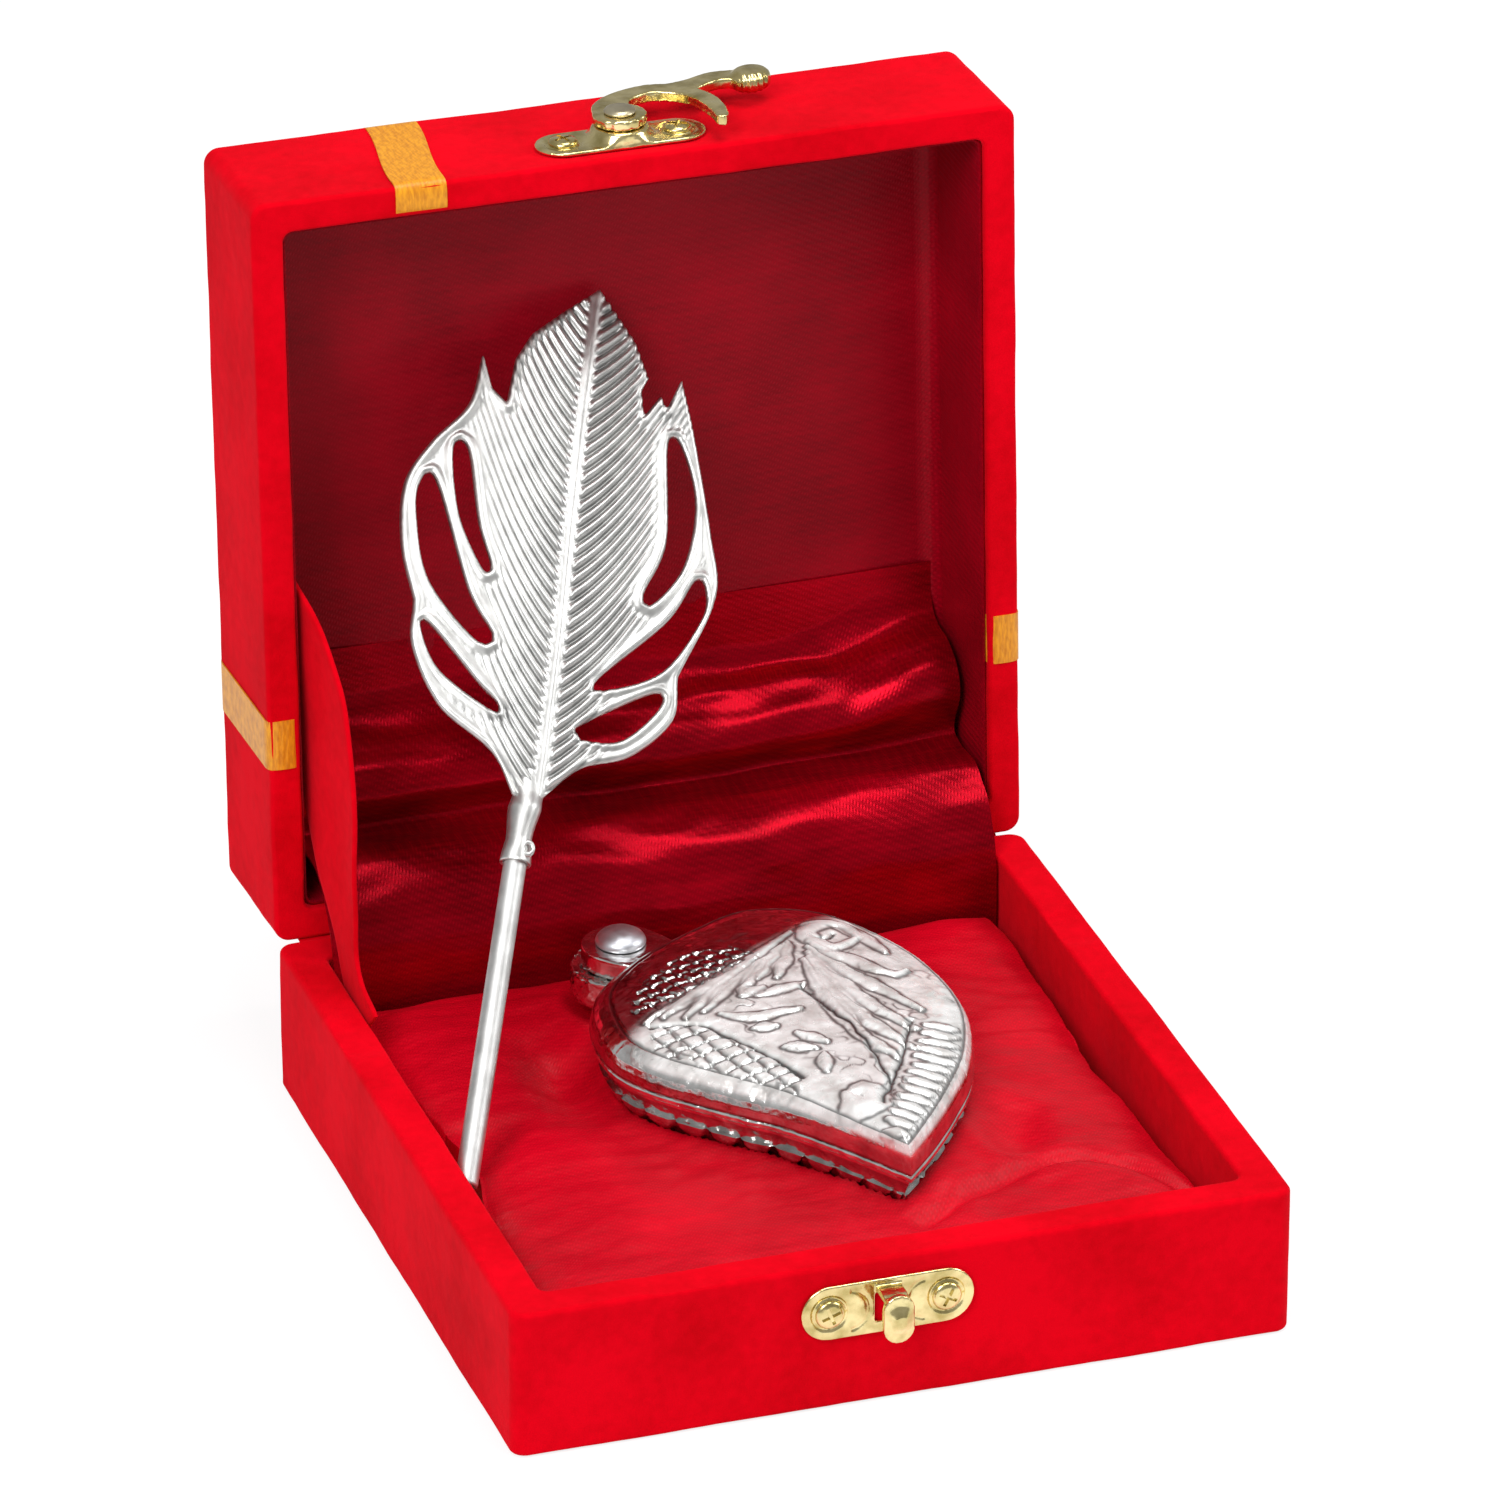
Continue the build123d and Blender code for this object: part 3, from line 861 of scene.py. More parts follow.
@dataclass
class VelvetCase:
    """The case: velvet-covered walls, satin linings, pad, drape, strap and ribbons."""

    half: float = 63.5
    corner: float = 2.6
    base_top: float = 25.0
    lid_top: float = 53.0
    base_inner: float = 57.0
    lid_inner: float = 58.3
    lining_inner: float = 57.7
    lining_under: float = 49.2
    long_ribbon_x: float = -35.6
    cross_ribbon_y: float = 28.9
    ribbon_width: float = 8.4

    def loop(self, half: np.ndarray, radius: np.ndarray, u: np.ndarray) -> tuple[np.ndarray, np.ndarray]:
        """Points round a rounded square.

        Args:
            half: half sizes.
            radius: corner radii.
            u: places round it from 0 to 1.

        Returns:
            The x and y arrays.
        """
        quarter = np.floor(np.clip(u, 0, 1 - 1e-9) * 4)
        local = u * 4 - quarter
        straight = half - radius
        share = 0.84
        along = np.clip(local / share, 0, 1) * 2 - 1
        angle = np.clip((local - share) / (1 - share), 0, 1) * math.pi / 2
        turned = local > share
        x = np.where(turned, straight + radius * np.cos(angle), half)
        y = np.where(turned, straight + radius * np.sin(angle), along * straight)
        turn = quarter * math.pi / 2
        return x * np.cos(turn) - y * np.sin(turn), x * np.sin(turn) + y * np.cos(turn)

    def swept(
        self, name: str, profile: Points, rows: int, sag: float, seed: float, columns: int = 400
    ) -> bpy.types.Object:
        """A square shell swept round the case.

        Args:
            name: the piece's name.
            profile: half size, corner radius and height of each corner of its section.
            rows: cells along the section.
            sag: unevenness of the cloth in millimetres.
            seed: shifts the unevenness.
            columns: cells round the case.

        Returns:
            The object, in the closed case's place.
        """
        corners = np.array(profile, float)
        run = Line.run(corners[:, [0, 2]])
        shares = [*(run / run[-1]), *np.linspace(0, 1, rows + 1)]
        places = np.array(sorted({round(share, 9) for share in shares}))
        table = np.column_stack([np.interp(places * run[-1], run, corners[:, k]) for k in range(3)])

        def place(u: np.ndarray, v: np.ndarray) -> np.ndarray:
            """Lay grid points on the shell."""
            index = np.rint(v * (len(places) - 1)).astype(int)
            half, radius, height = table[index].T
            x, y = self.loop(half, np.minimum(radius, half), u)
            return np.column_stack([x, y, height])

        obj = Bench.grid(name, columns, len(places) - 1, place, weld=True)
        if sag:
            points = Bench.read(obj)
            normals = np.array([v.normal for v in obj.data.vertices])
            uneven = 0.7 * ripple(points, 14.0, seed) + 0.3 * ripple(points, 4.0, seed + 5)
            Bench.write(obj, points + normals * (sag * uneven)[:, None])
        return obj

    def arc(
        self, centre: tuple[float, float], radius: float, start: float, end: float, corner: float
    ) -> list[tuple[float, float, float]]:
        """Section points round a rounded rim.

        Args:
            centre: half size and height of the rounding's centre.
            radius: its radius.
            start: first angle in degrees.
            end: last angle in degrees.
            corner: corner radius of the shell there, less the rounding's radius.

        Returns:
            Section points.
        """
        points = []
        for angle in np.radians(np.linspace(start, end, 6)):
            out, up = radius * math.cos(angle), radius * math.sin(angle)
            points.append((centre[0] + out, max(corner + out, 0.2), centre[1] + up))
        return points

    def base_cover(self, velvet: bpy.types.Material) -> None:
        """Velvet round the base's walls, over the rim and down inside."""
        inner = self.base_inner
        section = [(self.half - 0.9, 1.8, 0.25), (self.half - 0.9, 1.8, 0.02)]
        section += self.arc((self.half - 0.7, 0.72), 0.7, -90, 0, self.corner - 0.7)
        section += self.arc((self.half - 0.9, self.base_top - 0.9), 0.9, 0, 90, self.corner - 0.9)
        section += self.arc((inner + 0.8, self.base_top - 0.8), 0.8, 90, 180, 2.6)
        section += [(inner, 1.8, 2.6), (inner + 0.6, 2.2, 2.5)]
        obj = self.swept("base_velvet", section, 70, 0.2, 3.0)
        points = Bench.read(obj)
        x, y = points[:, 0], points[:, 1]
        under_long = bell(np.maximum(np.abs(x - self.long_ribbon_x + 0.3) - 4.9, 0), 0.8) * (np.abs(y) > 50)
        under_cross = bell(np.maximum(np.abs(y - self.cross_ribbon_y) - 4.6, 0), 0.8) * (np.abs(x) > 50)
        mark = 0.34 * np.maximum(under_long, under_cross)
        points[:, 2] = np.minimum(points[:, 2], self.base_top - 0.02 - mark)
        Bench.write(obj, points)
        Bench.smooth(obj, 60)
        Bench.hand_over(obj, velvet, Slot.VELVET, Body.BASE, ["base_cover"])

    def lid_cover(self, velvet: bpy.types.Material) -> None:
        """Velvet over the lid's top, down its walls, over the rim and inside."""
        inner, low, top = self.lid_inner, self.base_top, self.lid_top
        section = [(0.0, 0.0, top - 0.1), (30.0, 2.6, top - 0.05)]
        section += [(self.half - 1.5, self.corner - 1.5, top)]
        section += self.arc((self.half - 1.4, top - 1.4), 1.4, 90, 0, self.corner - 1.4)
        section += self.arc((self.half - 0.8, low + 0.8), 0.8, 0, -90, self.corner - 0.8)
        section += self.arc((inner + 0.7, low + 0.7), 0.7, -90, -180, 2.4)
        section += [(inner, 1.8, low + 3.4), (inner + 0.5, 2.2, low + 3.4)]
        obj = self.swept("lid_velvet", section, 120, 0.2, 8.0)
        points = Bench.read(obj)
        points[:, 2] = np.maximum(points[:, 2], low + 0.02)
        Bench.write(obj, Bench.open_lid(points))
        Bench.smooth(obj, 60)
        Bench.hand_over(obj, velvet, Slot.VELVET, Body.LID, ["lid_cover"])

    def lining(self, satin: bpy.types.Material) -> None:
        """Satin inside the lid, turned under at the rim and slightly loose on the panel."""
        wall, under = self.lining_inner, self.lining_under
        section = [(self.lid_inner, 1.8, 27.6), (self.lid_inner - 0.05, 1.8, 26.4), (wall + 0.1, 1.6, 26.2)]
        section += [(wall, 1.5, 26.8), (wall, 1.5, 46.0)]
        for angle in (0.4, 0.8, 1.2, 1.57):
            section.append((wall - 3.2 * (1 - math.cos(angle)), 3.4, 46.0 + 3.2 * math.sin(angle)))
        section += [(30.0, 8.0, under - 0.5), (12.0, 12.0, under - 0.7), (0.0, 0.0, under - 0.7)]
        obj = self.swept("lid_satin", section, 110, 0.0, 0.0, 240)
        points = Bench.read(obj)
        flat = bell(points[:, 2] - under, 2.0)
        plan = points[:, :2]
        slack = ripple(plan * (1.0, 0.35), 16.0, 9.0) * 0.55 + ripple(plan * (0.6, 1.0), 26.0, 4.0) * 0.5
        points[:, 2] -= flat * (0.3 + slack)
        Bench.write(obj, Bench.open_lid(points))
        Bench.smooth(obj, 70)
        Bench.hand_over(obj, satin, Slot.SATIN, Body.LID, ["lid_lining"])

    def pad(self, satin: bpy.types.Material) -> None:
        """The satin-covered cushion: blown up as cloth, then pressed down under the container."""
        inner, back = self.base_inner - 0.8, 54.1
        Bench.fresh()
        centre = (0.0, (back - inner) / 2 * MM, 9.0 * MM)
        bpy.ops.mesh.primitive_cube_add(size=1.0, location=centre)
        obj = bpy.context.object
        obj.name = "satin_pad"
        obj.scale = (2 * inner * MM, (back + inner) * MM, 11.6 * MM)
        bpy.ops.object.transform_apply(location=True, rotation=False, scale=True)
        Bench.modify(obj, "BEVEL", width=3.4 * MM, segments=4)
        Bench.modify(obj, "REMESH", mode="VOXEL", voxel_size=3.6 * MM)
        before = Bench.read(obj)
        self.inflate(obj, before)
        Bench.modify(obj, "SUBSURF", levels=2, render_levels=2)
        Bench.write(obj, self.press(Bench.read(obj), back))
        Bench.smooth(obj, 80)
        Bench.hand_over(obj, satin, Slot.SATIN, Body.BASE, ["pad"])

    def inflate(self, obj: bpy.types.Object, before: np.ndarray) -> None:
        """Swell the cushion with air pressure inside its cover.

        Args:
            obj: the cushion.
            before: its points before.
        """
        Bench.pick(obj)
        modifier = obj.modifiers.new("Cover", "CLOTH")
        cloth = modifier.settings
        cloth.quality = 5
        cloth.mass = 0.2
        cloth.use_pressure = True
        cloth.uniform_pressure_force = 3.0
        cloth.effector_weights.gravity = 0.0
        cloth.tension_stiffness = 12.0
        cloth.compression_stiffness = 6.0
        scene = bpy.context.scene
        for number in range(1, 17):
            scene.frame_set(number)
        bpy.ops.object.modifier_apply(modifier=modifier.name)
        scene.frame_set(1)
        moved = Bench.read(obj) - before
        length = np.linalg.norm(moved, axis=1, keepdims=True)
        cap = 6.0
        Bench.write(obj, before + moved * np.minimum(1.0, cap / np.maximum(length, 1e-6)))

    def press(self, points: np.ndarray, back: float) -> np.ndarray:
        """Fit the cushion to the case, and press the container's nest and the satin's creases into it.

        Args:
            points: the cushion's points.
            back: its rear limit.

        Returns:
            The new points.
        """
        x, y, z = points.T.copy()
        wall = self.base_inner - 0.35
        x = np.clip(x, -wall, wall)
        y = np.clip(y, -wall, back + 0.3)
        top = step(z, 8.0, 12.0)
        edge = np.minimum(np.minimum(wall - np.abs(x), y + wall), back + 0.3 - y)
        crown = 14.0 + 5.4 * (1 - np.exp(-edge / 4.2)) + 0.4 * step(edge, 8, 26)
        z = np.where(z > 10.0, crown, np.clip(z, 2.75, 30.0))
        plan = np.column_stack([x, y])
        outline = Container.outline(200)
        ring = np.vstack([outline, outline[:1]])
        share = Container.share(plan)
        gap = Line.away(plan, ring) * np.where(share < 1, -1, 1)
        near = bell(gap, 9.0)
        front_left = step(-(x - 2) * 0.8 - (y + 4) * 0.6, 4, 26)
        z += top * near * (1.3 * step(x - y * 0.4, 2, 26) - 1.6 * front_left)
        z -= top * 5.2 * bell(np.hypot(x + 29.0, (y - 21.0) / 2.1), 6.2)
        z -= top * 2.6 * bell(np.hypot(x - 31.5, (y + 22.0) / 1.4), 5.0)
        angle = np.arctan2(y - Container.MIDDLE, x - Container.MIDDLE)
        rays = np.sin(angle * 23 + 3.0 * ripple(plan, 18.0, 2.0)) * np.sin(angle * 9 + 1.0)
        z += top * 0.34 * rays * bell(gap - 7.0, 9.0)
        z += top * (0.9 * ripple(plan * (1.0, 1.5), 18.0, 1.0) + 0.5 * ripple(plan * (0.8, 1.9), 8.0, 6.0))
        z += top * 0.16 * ripple(plan * (0.6, 2.2), 3.4, 14.0)
        crease = [(9.0, -45.0), (20.0, -39.0), (33.0, -33.0), (44.0, -36.0), (52.0, -46.0)]
        fold = Line.away(plan, Line.through(crease, 30))
        z -= top * 1.5 * bell(fold, 1.5)
        z += top * 0.5 * bell(fold - 3.6, 2.6)
        floor = np.where(share < 0.683, 8.4, 8.4 + 10.8 * (share - 0.683) / 0.241)
        floor = np.where(share > 0.924, 19.2 + (share - 0.924) * 90, floor)
        z = np.where(top > 0.5, np.minimum(z, floor), z)
        lug = np.hypot(x - Container.rivet[0], y - Container.rivet[1])
        z = np.where((top > 0.5) & (lug < 14), np.minimum(z, 17.6 + 2.0 * step(lug, 5, 13)), z)
        stick = Line.away(plan, np.array([[-55.1, -14.0], [-46.0, 4.0]]))
        z -= top * 2.2 * bell(stick, 5.0)
        return np.column_stack([x, y, np.maximum(z, 2.75)])

    def drape(self, satin: bpy.types.Material) -> None:
        """Loose satin over the hinge, in two soft rolls, from the lid's lining down behind the pad."""
        path = [(89.5, 63.0), (89.0, 55.5), (86.6, 50.6), (81.6, 48.4), (76.9, 46.0), (75.2, 42.2)]
        path += [(76.9, 38.6), (76.6, 36.4), (72.6, 36.4), (66.6, 37.0), (61.2, 35.0), (57.6, 30.6)]
        path += [(55.2, 24.0), (55.0, 16.0), (55.3, 11.0)]
        rows, reach = 130, 56.4
        line = Line.through(path, rows + 1)

        def place(u: np.ndarray, v: np.ndarray) -> np.ndarray:
            """Lay grid points on the rolls."""
            x = (u * 2 - 1) * reach
            y, z = line[np.rint(v * rows).astype(int)].T
            shape = np.column_stack([x, v * 70])
            wide = shape * (1.0, 0.2)
            roll, front = bell(v - 0.27, 0.16), bell(v - 0.66, 0.16)
            ends = 4.6 * step(x, 36, 54) + 1.2 * step(-x, 30, 56)
            z = z + roll * (1.5 * ripple(wide, 26.0, 2.0) + ends) + front * 0.9 * ripple(wide, 21.0, 7.0)
            y = y - roll * (1.6 * ripple(wide, 19.0, 4.0) + 1.2 * step(x, 36, 54))
            slack = 0.8 * ripple(shape * (0.24, 1.0), 8.0, 3.0)
            slack += 0.42 * ripple(shape * (0.34, 1.0), 3.6, 8.0)
            slack *= step(v, 0.05, 0.2) * (1 - step(v, 0.8, 0.95))
            y = np.maximum(y - slack, 54.7)
            z = z + slack * 0.8
            lining = Bench.HINGE[0] + 23.5 + (z - Bench.HINGE[1]) * 0.0593
            return np.column_stack([x, np.minimum(y, lining), z])

        obj = Bench.grid("satin_drape", 260, rows, place)
        Bench.modify(obj, "SOLIDIFY", thickness=0.35 * MM, offset=0.0)
        Bench.smooth(obj, 80)
        Bench.hand_over(obj, satin, Slot.SATIN, None, ["hinge_drape"])
        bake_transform(obj)

    def strap(self, velvet: bpy.types.Material) -> None:
        """The velvet strap that stops the lid, from its left wall to the gap beside the pad."""
        rows = 60
        outer = [(79.0, 86.0), (64.0, 82.0), (51.5, 71.0), (45.5, 54.5), (42.5, 31.5), (32.0, 26.6)]
        inner = [(79.0, 58.0), (72.0, 48.5), (63.5, 38.5), (56.0, 31.6), (50.0, 24.0), (41.0, 17.6)]
        front, rear = Line.through(outer, rows + 1), Line.through(inner, rows + 1)

        def place(u: np.ndarray, v: np.ndarray) -> np.ndarray:
            """Lay grid points between the strap's edges."""
            index = np.rint(v * rows).astype(int)
            flat = front[index] * (1 - u)[:, None] + rear[index] * u[:, None]
            belly = 1.3 * bell(v - 0.42, 0.24) * (1 - u) + 0.35 * ripple(flat, 11.0, 5.0)
            x = -56.15 + np.maximum(belly, -0.2) - 0.75 * step(1 - v, 0.7, 1.0)
            return np.column_stack([x, flat])

        obj = Bench.grid("stay_strap_velvet", 18, rows, place)
        Bench.modify(obj, "SOLIDIFY", thickness=0.8 * MM, offset=0.0)
        Bench.modify(obj, "BEVEL", width=0.25 * MM, segments=2, limit_method="ANGLE", angle_limit=1.0)
        Bench.smooth(obj, 60)
        Bench.hand_over(obj, velvet, Slot.VELVET, None, ["stay_strap"])
        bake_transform(obj)

    def hinge_strip(self, velvet: bpy.types.Material) -> None:
        """The glued strip of velvet behind the hinge."""
        path = [(63.8, 11.5), (63.82, 18.0), (63.85, 23.4), (64.1, 24.45)]
        path += [(65.2, 24.62), (75.0, 24.1), (86.0, 23.45)]
        rows = 60
        line = Line.through(path, rows + 1)

        def place(u: np.ndarray, v: np.ndarray) -> np.ndarray:
            """Lay grid points on the strip."""
            flat = line[np.rint(v * rows).astype(int)]
            ends = bell(v, 0.06) + bell(v - 1, 0.06)
            fray = 0.25 * ripple(np.column_stack([u * 119, v * 3]), 6.0, 2.0) * ends
            return np.column_stack([(u * 2 - 1) * 59.4, flat[:, 0], flat[:, 1] + fray])

        obj = Bench.grid("hinge_velvet", 120, rows, place)
        Bench.modify(obj, "SOLIDIFY", thickness=0.5 * MM, offset=0.0)
        Bench.smooth(obj, 60)
        Bench.hand_over(obj, velvet, Slot.VELVET, None, ["hinge_cloth"])
        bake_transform(obj)

    def ribbon_path(self) -> np.ndarray:
        """The closed lid's half section that a ribbon follows: inner rim, wall, top.

        Returns:
            Array of distance from the centre and height.
        """
        out, low, top = self.half + 0.2, self.base_top, self.lid_top + 0.2
        inner = self.lid_inner
        points = [(inner - 0.02, low + 3.2), (inner - 0.02, low + 1.4), (inner + 0.7, low + 0.05)]
        points += [(inner + 1.6, low - 0.08), (self.half - 1.4, low - 0.08), (out - 0.25, low + 0.35)]
        points += [(out, low + 1.4), (out, top - 2.0), (out - 0.5, top - 0.6), (out - 1.8, top)]
        return np.array(points)

    def ribbon(self, name: str, node: str, lengthwise: bool, finish: bpy.types.Material) -> None:
        """One golden ribbon round the lid.

        Args:
            name: the piece's name.
            node: the frame's node that it stands for.
            lengthwise: front to back, else left to right.
            finish: the ribbon's finish.
        """
        half = self.ribbon_path()
        whole = np.vstack([half * (-1, 1), half[::-1]])
        run = Line.run(whole)

        def place(u: np.ndarray, v: np.ndarray) -> np.ndarray:
            """Lay grid points along the ribbon."""
            at = v * run[-1]
            out, z = np.interp(at, run, whole[:, 0]), np.interp(at, run, whole[:, 1])
            side = (u - 0.5) * self.ribbon_width
            wave = 0.05 * ripple(np.column_stack([side, at]), 5.0, 3.0)
            lift = np.where(np.abs(out) < 60, wave, 0.0)
            if lengthwise:
                on_top = 3.0 - 3.6 * step(out, -60, 60)
                slant = np.where(z > 52.5, on_top, np.where(out < 0, 3.0 * step(z, 27, 52), -0.6))
                return np.column_stack([self.long_ribbon_x + side + slant, out, z + lift])
            over = 0.42 * bell(np.maximum(np.abs(out + 34.0) - 4.6, 0), 0.9) * (z > 52)
            return np.column_stack([out, self.cross_ribbon_y + side, z + lift + over])

        obj = Bench.grid(name, 8, 260, place)
        Bench.write(obj, Bench.open_lid(Bench.read(obj)))
        Bench.modify(obj, "SOLIDIFY", thickness=0.22 * MM, offset=0.0)
        Bench.smooth(obj, 60)
        Bench.hand_over(obj, finish, Slot.RIBBON, Body.LID, [node])

    def build(self) -> None:
        """Make and dress the whole case."""
        velvet = Velvet().make()
        dark, cherry, wine = (0.14, 0.0, 0.004), (0.30, 0.0, 0.005), (0.12, 0.0, 0.003)
        lining = Satin("lid_lining_satin", dark, (0.36, 0.0, 0.010), 0.42, 0.07, upright=True, shine=0.42)
        pad = Satin("pad_satin", cherry, (0.62, 0.0, 0.012), 0.42, 0.05, turn=12.0)
        drape = Satin(
            "drape_satin", wine, (0.44, 0.0, 0.010), 0.30, 0.03, upright=True, shine=0.3, lustre=0.62
        )
        lining, pad, drape = lining.make(), pad.make(), drape.make()
        gold = RibbonSatin().make()
        board = Board().make()
        for name in ("base_floor", "base_walls", "lid_walls", "lid_panel"):
            Bench.dress(frame["nodes"][name], board)
        self.base_cover(velvet)
        self.lid_cover(velvet)
        self.lining(lining)
        self.pad(pad)
        self.drape(drape)
        self.strap(velvet)
        self.hinge_strip(velvet)
        self.ribbon("long_ribbon", "ribbon_long", True, gold)
        self.ribbon("cross_ribbon", "ribbon_cross", False, gold)


@dataclass
class Latch:
    """The stamped brass latch: two plates, their screws, the hook on its rivet and the keeper."""

    length: float = 28.2
    width: float = 9.4
    thickness: float = 0.8
    spacing: float = 19.0
    hook_x: float = -0.3
    hook_z: float = 32.4
    keeper_x: float = -3.4
    keeper_z: float = 17.0
    level: float = 2.9
    hook_thickness: float = 1.8

    @staticmethod
    def turned(name: str, section: Points, count: int = 72) -> bpy.types.Object:
        """A round piece about the axis out of the front face.

        Args:
            name: the piece's name.
            section: radius and height of the corners of its half section.
            count: cells round it.

        Returns:
            The object.
        """
        line = np.array(section, float)
        rows = len(line) - 1

        def place(u: np.ndarray, v: np.ndarray) -> np.ndarray:
            """Lay grid points round the axis."""
            r, z = line[np.rint(v * rows).astype(int)].T
            return np.column_stack([r * np.cos(u * math.tau), r * np.sin(u * math.tau), z])

        return Bench.grid(name, count, rows, place, weld=True)

    def blank(self, name: str) -> bpy.types.Object:
        """One stamped pill-shaped plate with a bevelled rim."""
        return Bench.plate(name, Line.pill(self.length, self.width, 96), self.thickness, 0.32)

    def screws(
        self, name: str, node: str, x: float, z: float, opened: bool, brass: bpy.types.Material
    ) -> None:
        """The two cross-headed screws of a plate.

        Args:
            name: the piece's name.
            node: the frame's node that it stands for.
            x: the plate's place along the front.
            z: its height.
            opened: whether it turns with the lid.
            brass: their finish.
        """
        heads = []
        section = [(0, -0.1), (2.35, -0.1), (2.4, 0.12), (2.3, 0.42)]
        section += [(2.0, 0.68), (1.5, 0.84), (0.8, 0.9), (0, 0.9)]
        for side, turn in ((-1, 20.0), (1, 63.0)):
            head = self.turned(f"{name}_{side}", section, 48)
            for quarter in (0, 90):
                Bench.cut(head, Bench.block((3.1, 0.55, 1.1), (0, 0, 0.95), turn + quarter))
            points = Bench.read(head)
            Bench.write(head, points + (side * self.spacing / 2, 0.0, self.thickness))
            heads.append(head)
        obj = Bench.join(name, heads)
        Bench.to_front(obj, x, z, opened)
        Bench.smooth(obj, 40)
        Bench.hand_over(obj, brass, Slot.BRASS, Body.LID if opened else Body.BASE, [node])

    def hook_plate(self, brass: bpy.types.Material) -> None:
        """The lid's plate, with a mound pressed up under the hook."""
        plate = self.blank("hook_plate_brass")
        section = [(0, 0.3), (6.2, 0.3), (6.05, 0.8), (5.5, 1.0), (5.0, 1.6)]
        section += [(4.6, 2.4), (4.2, 2.74), (3.6, 2.8), (0, 2.8)]
        mound = self.turned("mound", section)
        flat = Bench.read(mound)
        flat[:, 1] = np.clip(flat[:, 1], -self.width / 2 + 0.1, self.width / 2 - 0.1)
        Bench.write(mound, flat)
        obj = Bench.join("hook_plate_brass", [plate, mound])
        Bench.fuse(obj, 0.2, 3)
        self.countersink(obj)
        Bench.to_front(obj, self.hook_x, self.hook_z, True)
        Bench.smooth(obj, 70)
        Bench.hand_over(obj, brass, Slot.BRASS, Body.LID, ["hook_plate"])

    def countersink(self, obj: bpy.types.Object) -> None:
        """Press a ring round each screw into a plate.

        Args:
            obj: the plate, still flat.
        """
        points = Bench.read(obj)
        x, y, z = points.T
        away = np.hypot(np.abs(x) - self.spacing / 2, y)
        face = step(z, 0.5, 0.7) * (z < 1.3)
        points[:, 2] = z - face * (0.34 * bell(away - 2.75, 0.3))
        Bench.write(obj, points)

    def keeper(self, brass: bpy.types.Material) -> None:
        """The base's plate, with its tongue bent out and down from a punched hole."""
        plate = self.blank("keeper_brass")
        Bench.cut(plate, Bench.block((4.3, 5.0, 3), (0, -0.1, 0.4)))
        head_level, head_y = 5.0, 0.2
        neck_points = Line.through([(3.1, 0.25), (3.15, 2.0), (3.1, 4.0), (2.6, 5.2), (1.4, 5.55)], 15)

        def bend(u: np.ndarray, v: np.ndarray) -> np.ndarray:
            """Lay grid points on the bent neck."""
            y, z = neck_points[np.rint(v * 14).astype(int)].T
            return np.column_stack([(u - 0.5) * 4.0, y, z])

        neck = Bench.grid("neck", 8, 14, bend)
        Bench.modify(neck, "SOLIDIFY", thickness=1.1 * MM, offset=0.0)
        tongue = Line.pill(8.2, 5.0, 64)[:, ::-1] + (0.0, head_y)
        head = Bench.plate("head", tongue, 2.3, 0.0)
        points = Bench.read(head)
        raised = points[:, 2] > 1.2
        points[:, 2] = np.where(raised, 1.1, 0.0) + head_level
        Bench.write(head, points)
        crest = self.crest(head_y, head_level + 1.0)
        obj = Bench.join("keeper_brass", [plate, neck, head, crest])
        Bench.fuse(obj, 0.19, 2)
        self.countersink(obj)
        flat = Bench.read(obj)
        side, level = np.abs(flat[:, 0]), flat[:, 2]
        crease = bell(np.hypot(side - 6.4, flat[:, 1]) - 3.4, 0.35) * (side < 6.0)
        flat[:, 2] -= (level < 1.2) * (level > 0.5) * 0.22 * crease
        Bench.write(obj, flat)
        Bench.to_front(obj, self.keeper_x, self.keeper_z, False)
        Bench.smooth(obj, 60)
        Bench.hand_over(obj, brass, Slot.BRASS, Body.BASE, ["keeper_plate"])

    def crest(self, y: float, level: float) -> bpy.types.Object:
        """The faceted crown of the keeper's tongue.

        Args:
            y: its centre.
            level: where it starts.

        Returns:
            The object.
        """
        loop = Line.pill(8.0, 4.8, 64)[:, ::-1]

        def place(u: np.ndarray, v: np.ndarray) -> np.ndarray:
            """Lay grid points on the crown."""
            ring = loop[np.rint(u * 64).astype(int) % 64]
            share = np.where(v < 0.1, 0.0, np.interp(v, [0.1, 0.3, 0.7, 1.0], [1.0, 0.98, 0.34, 0.0]))
            height = np.interp(v, [0.0, 0.1, 0.3, 0.7, 1.0], [-0.4, -0.4, 0.15, 1.25, 1.4])
            x, across = ring[:, 0] * share, ring[:, 1] * (share * 0.75 + 0.25 * (share > 0.9))
            return np.column_stack([x, y + across, level + height])

        return Bench.grid("crest", 64, 10, place, weld=True)

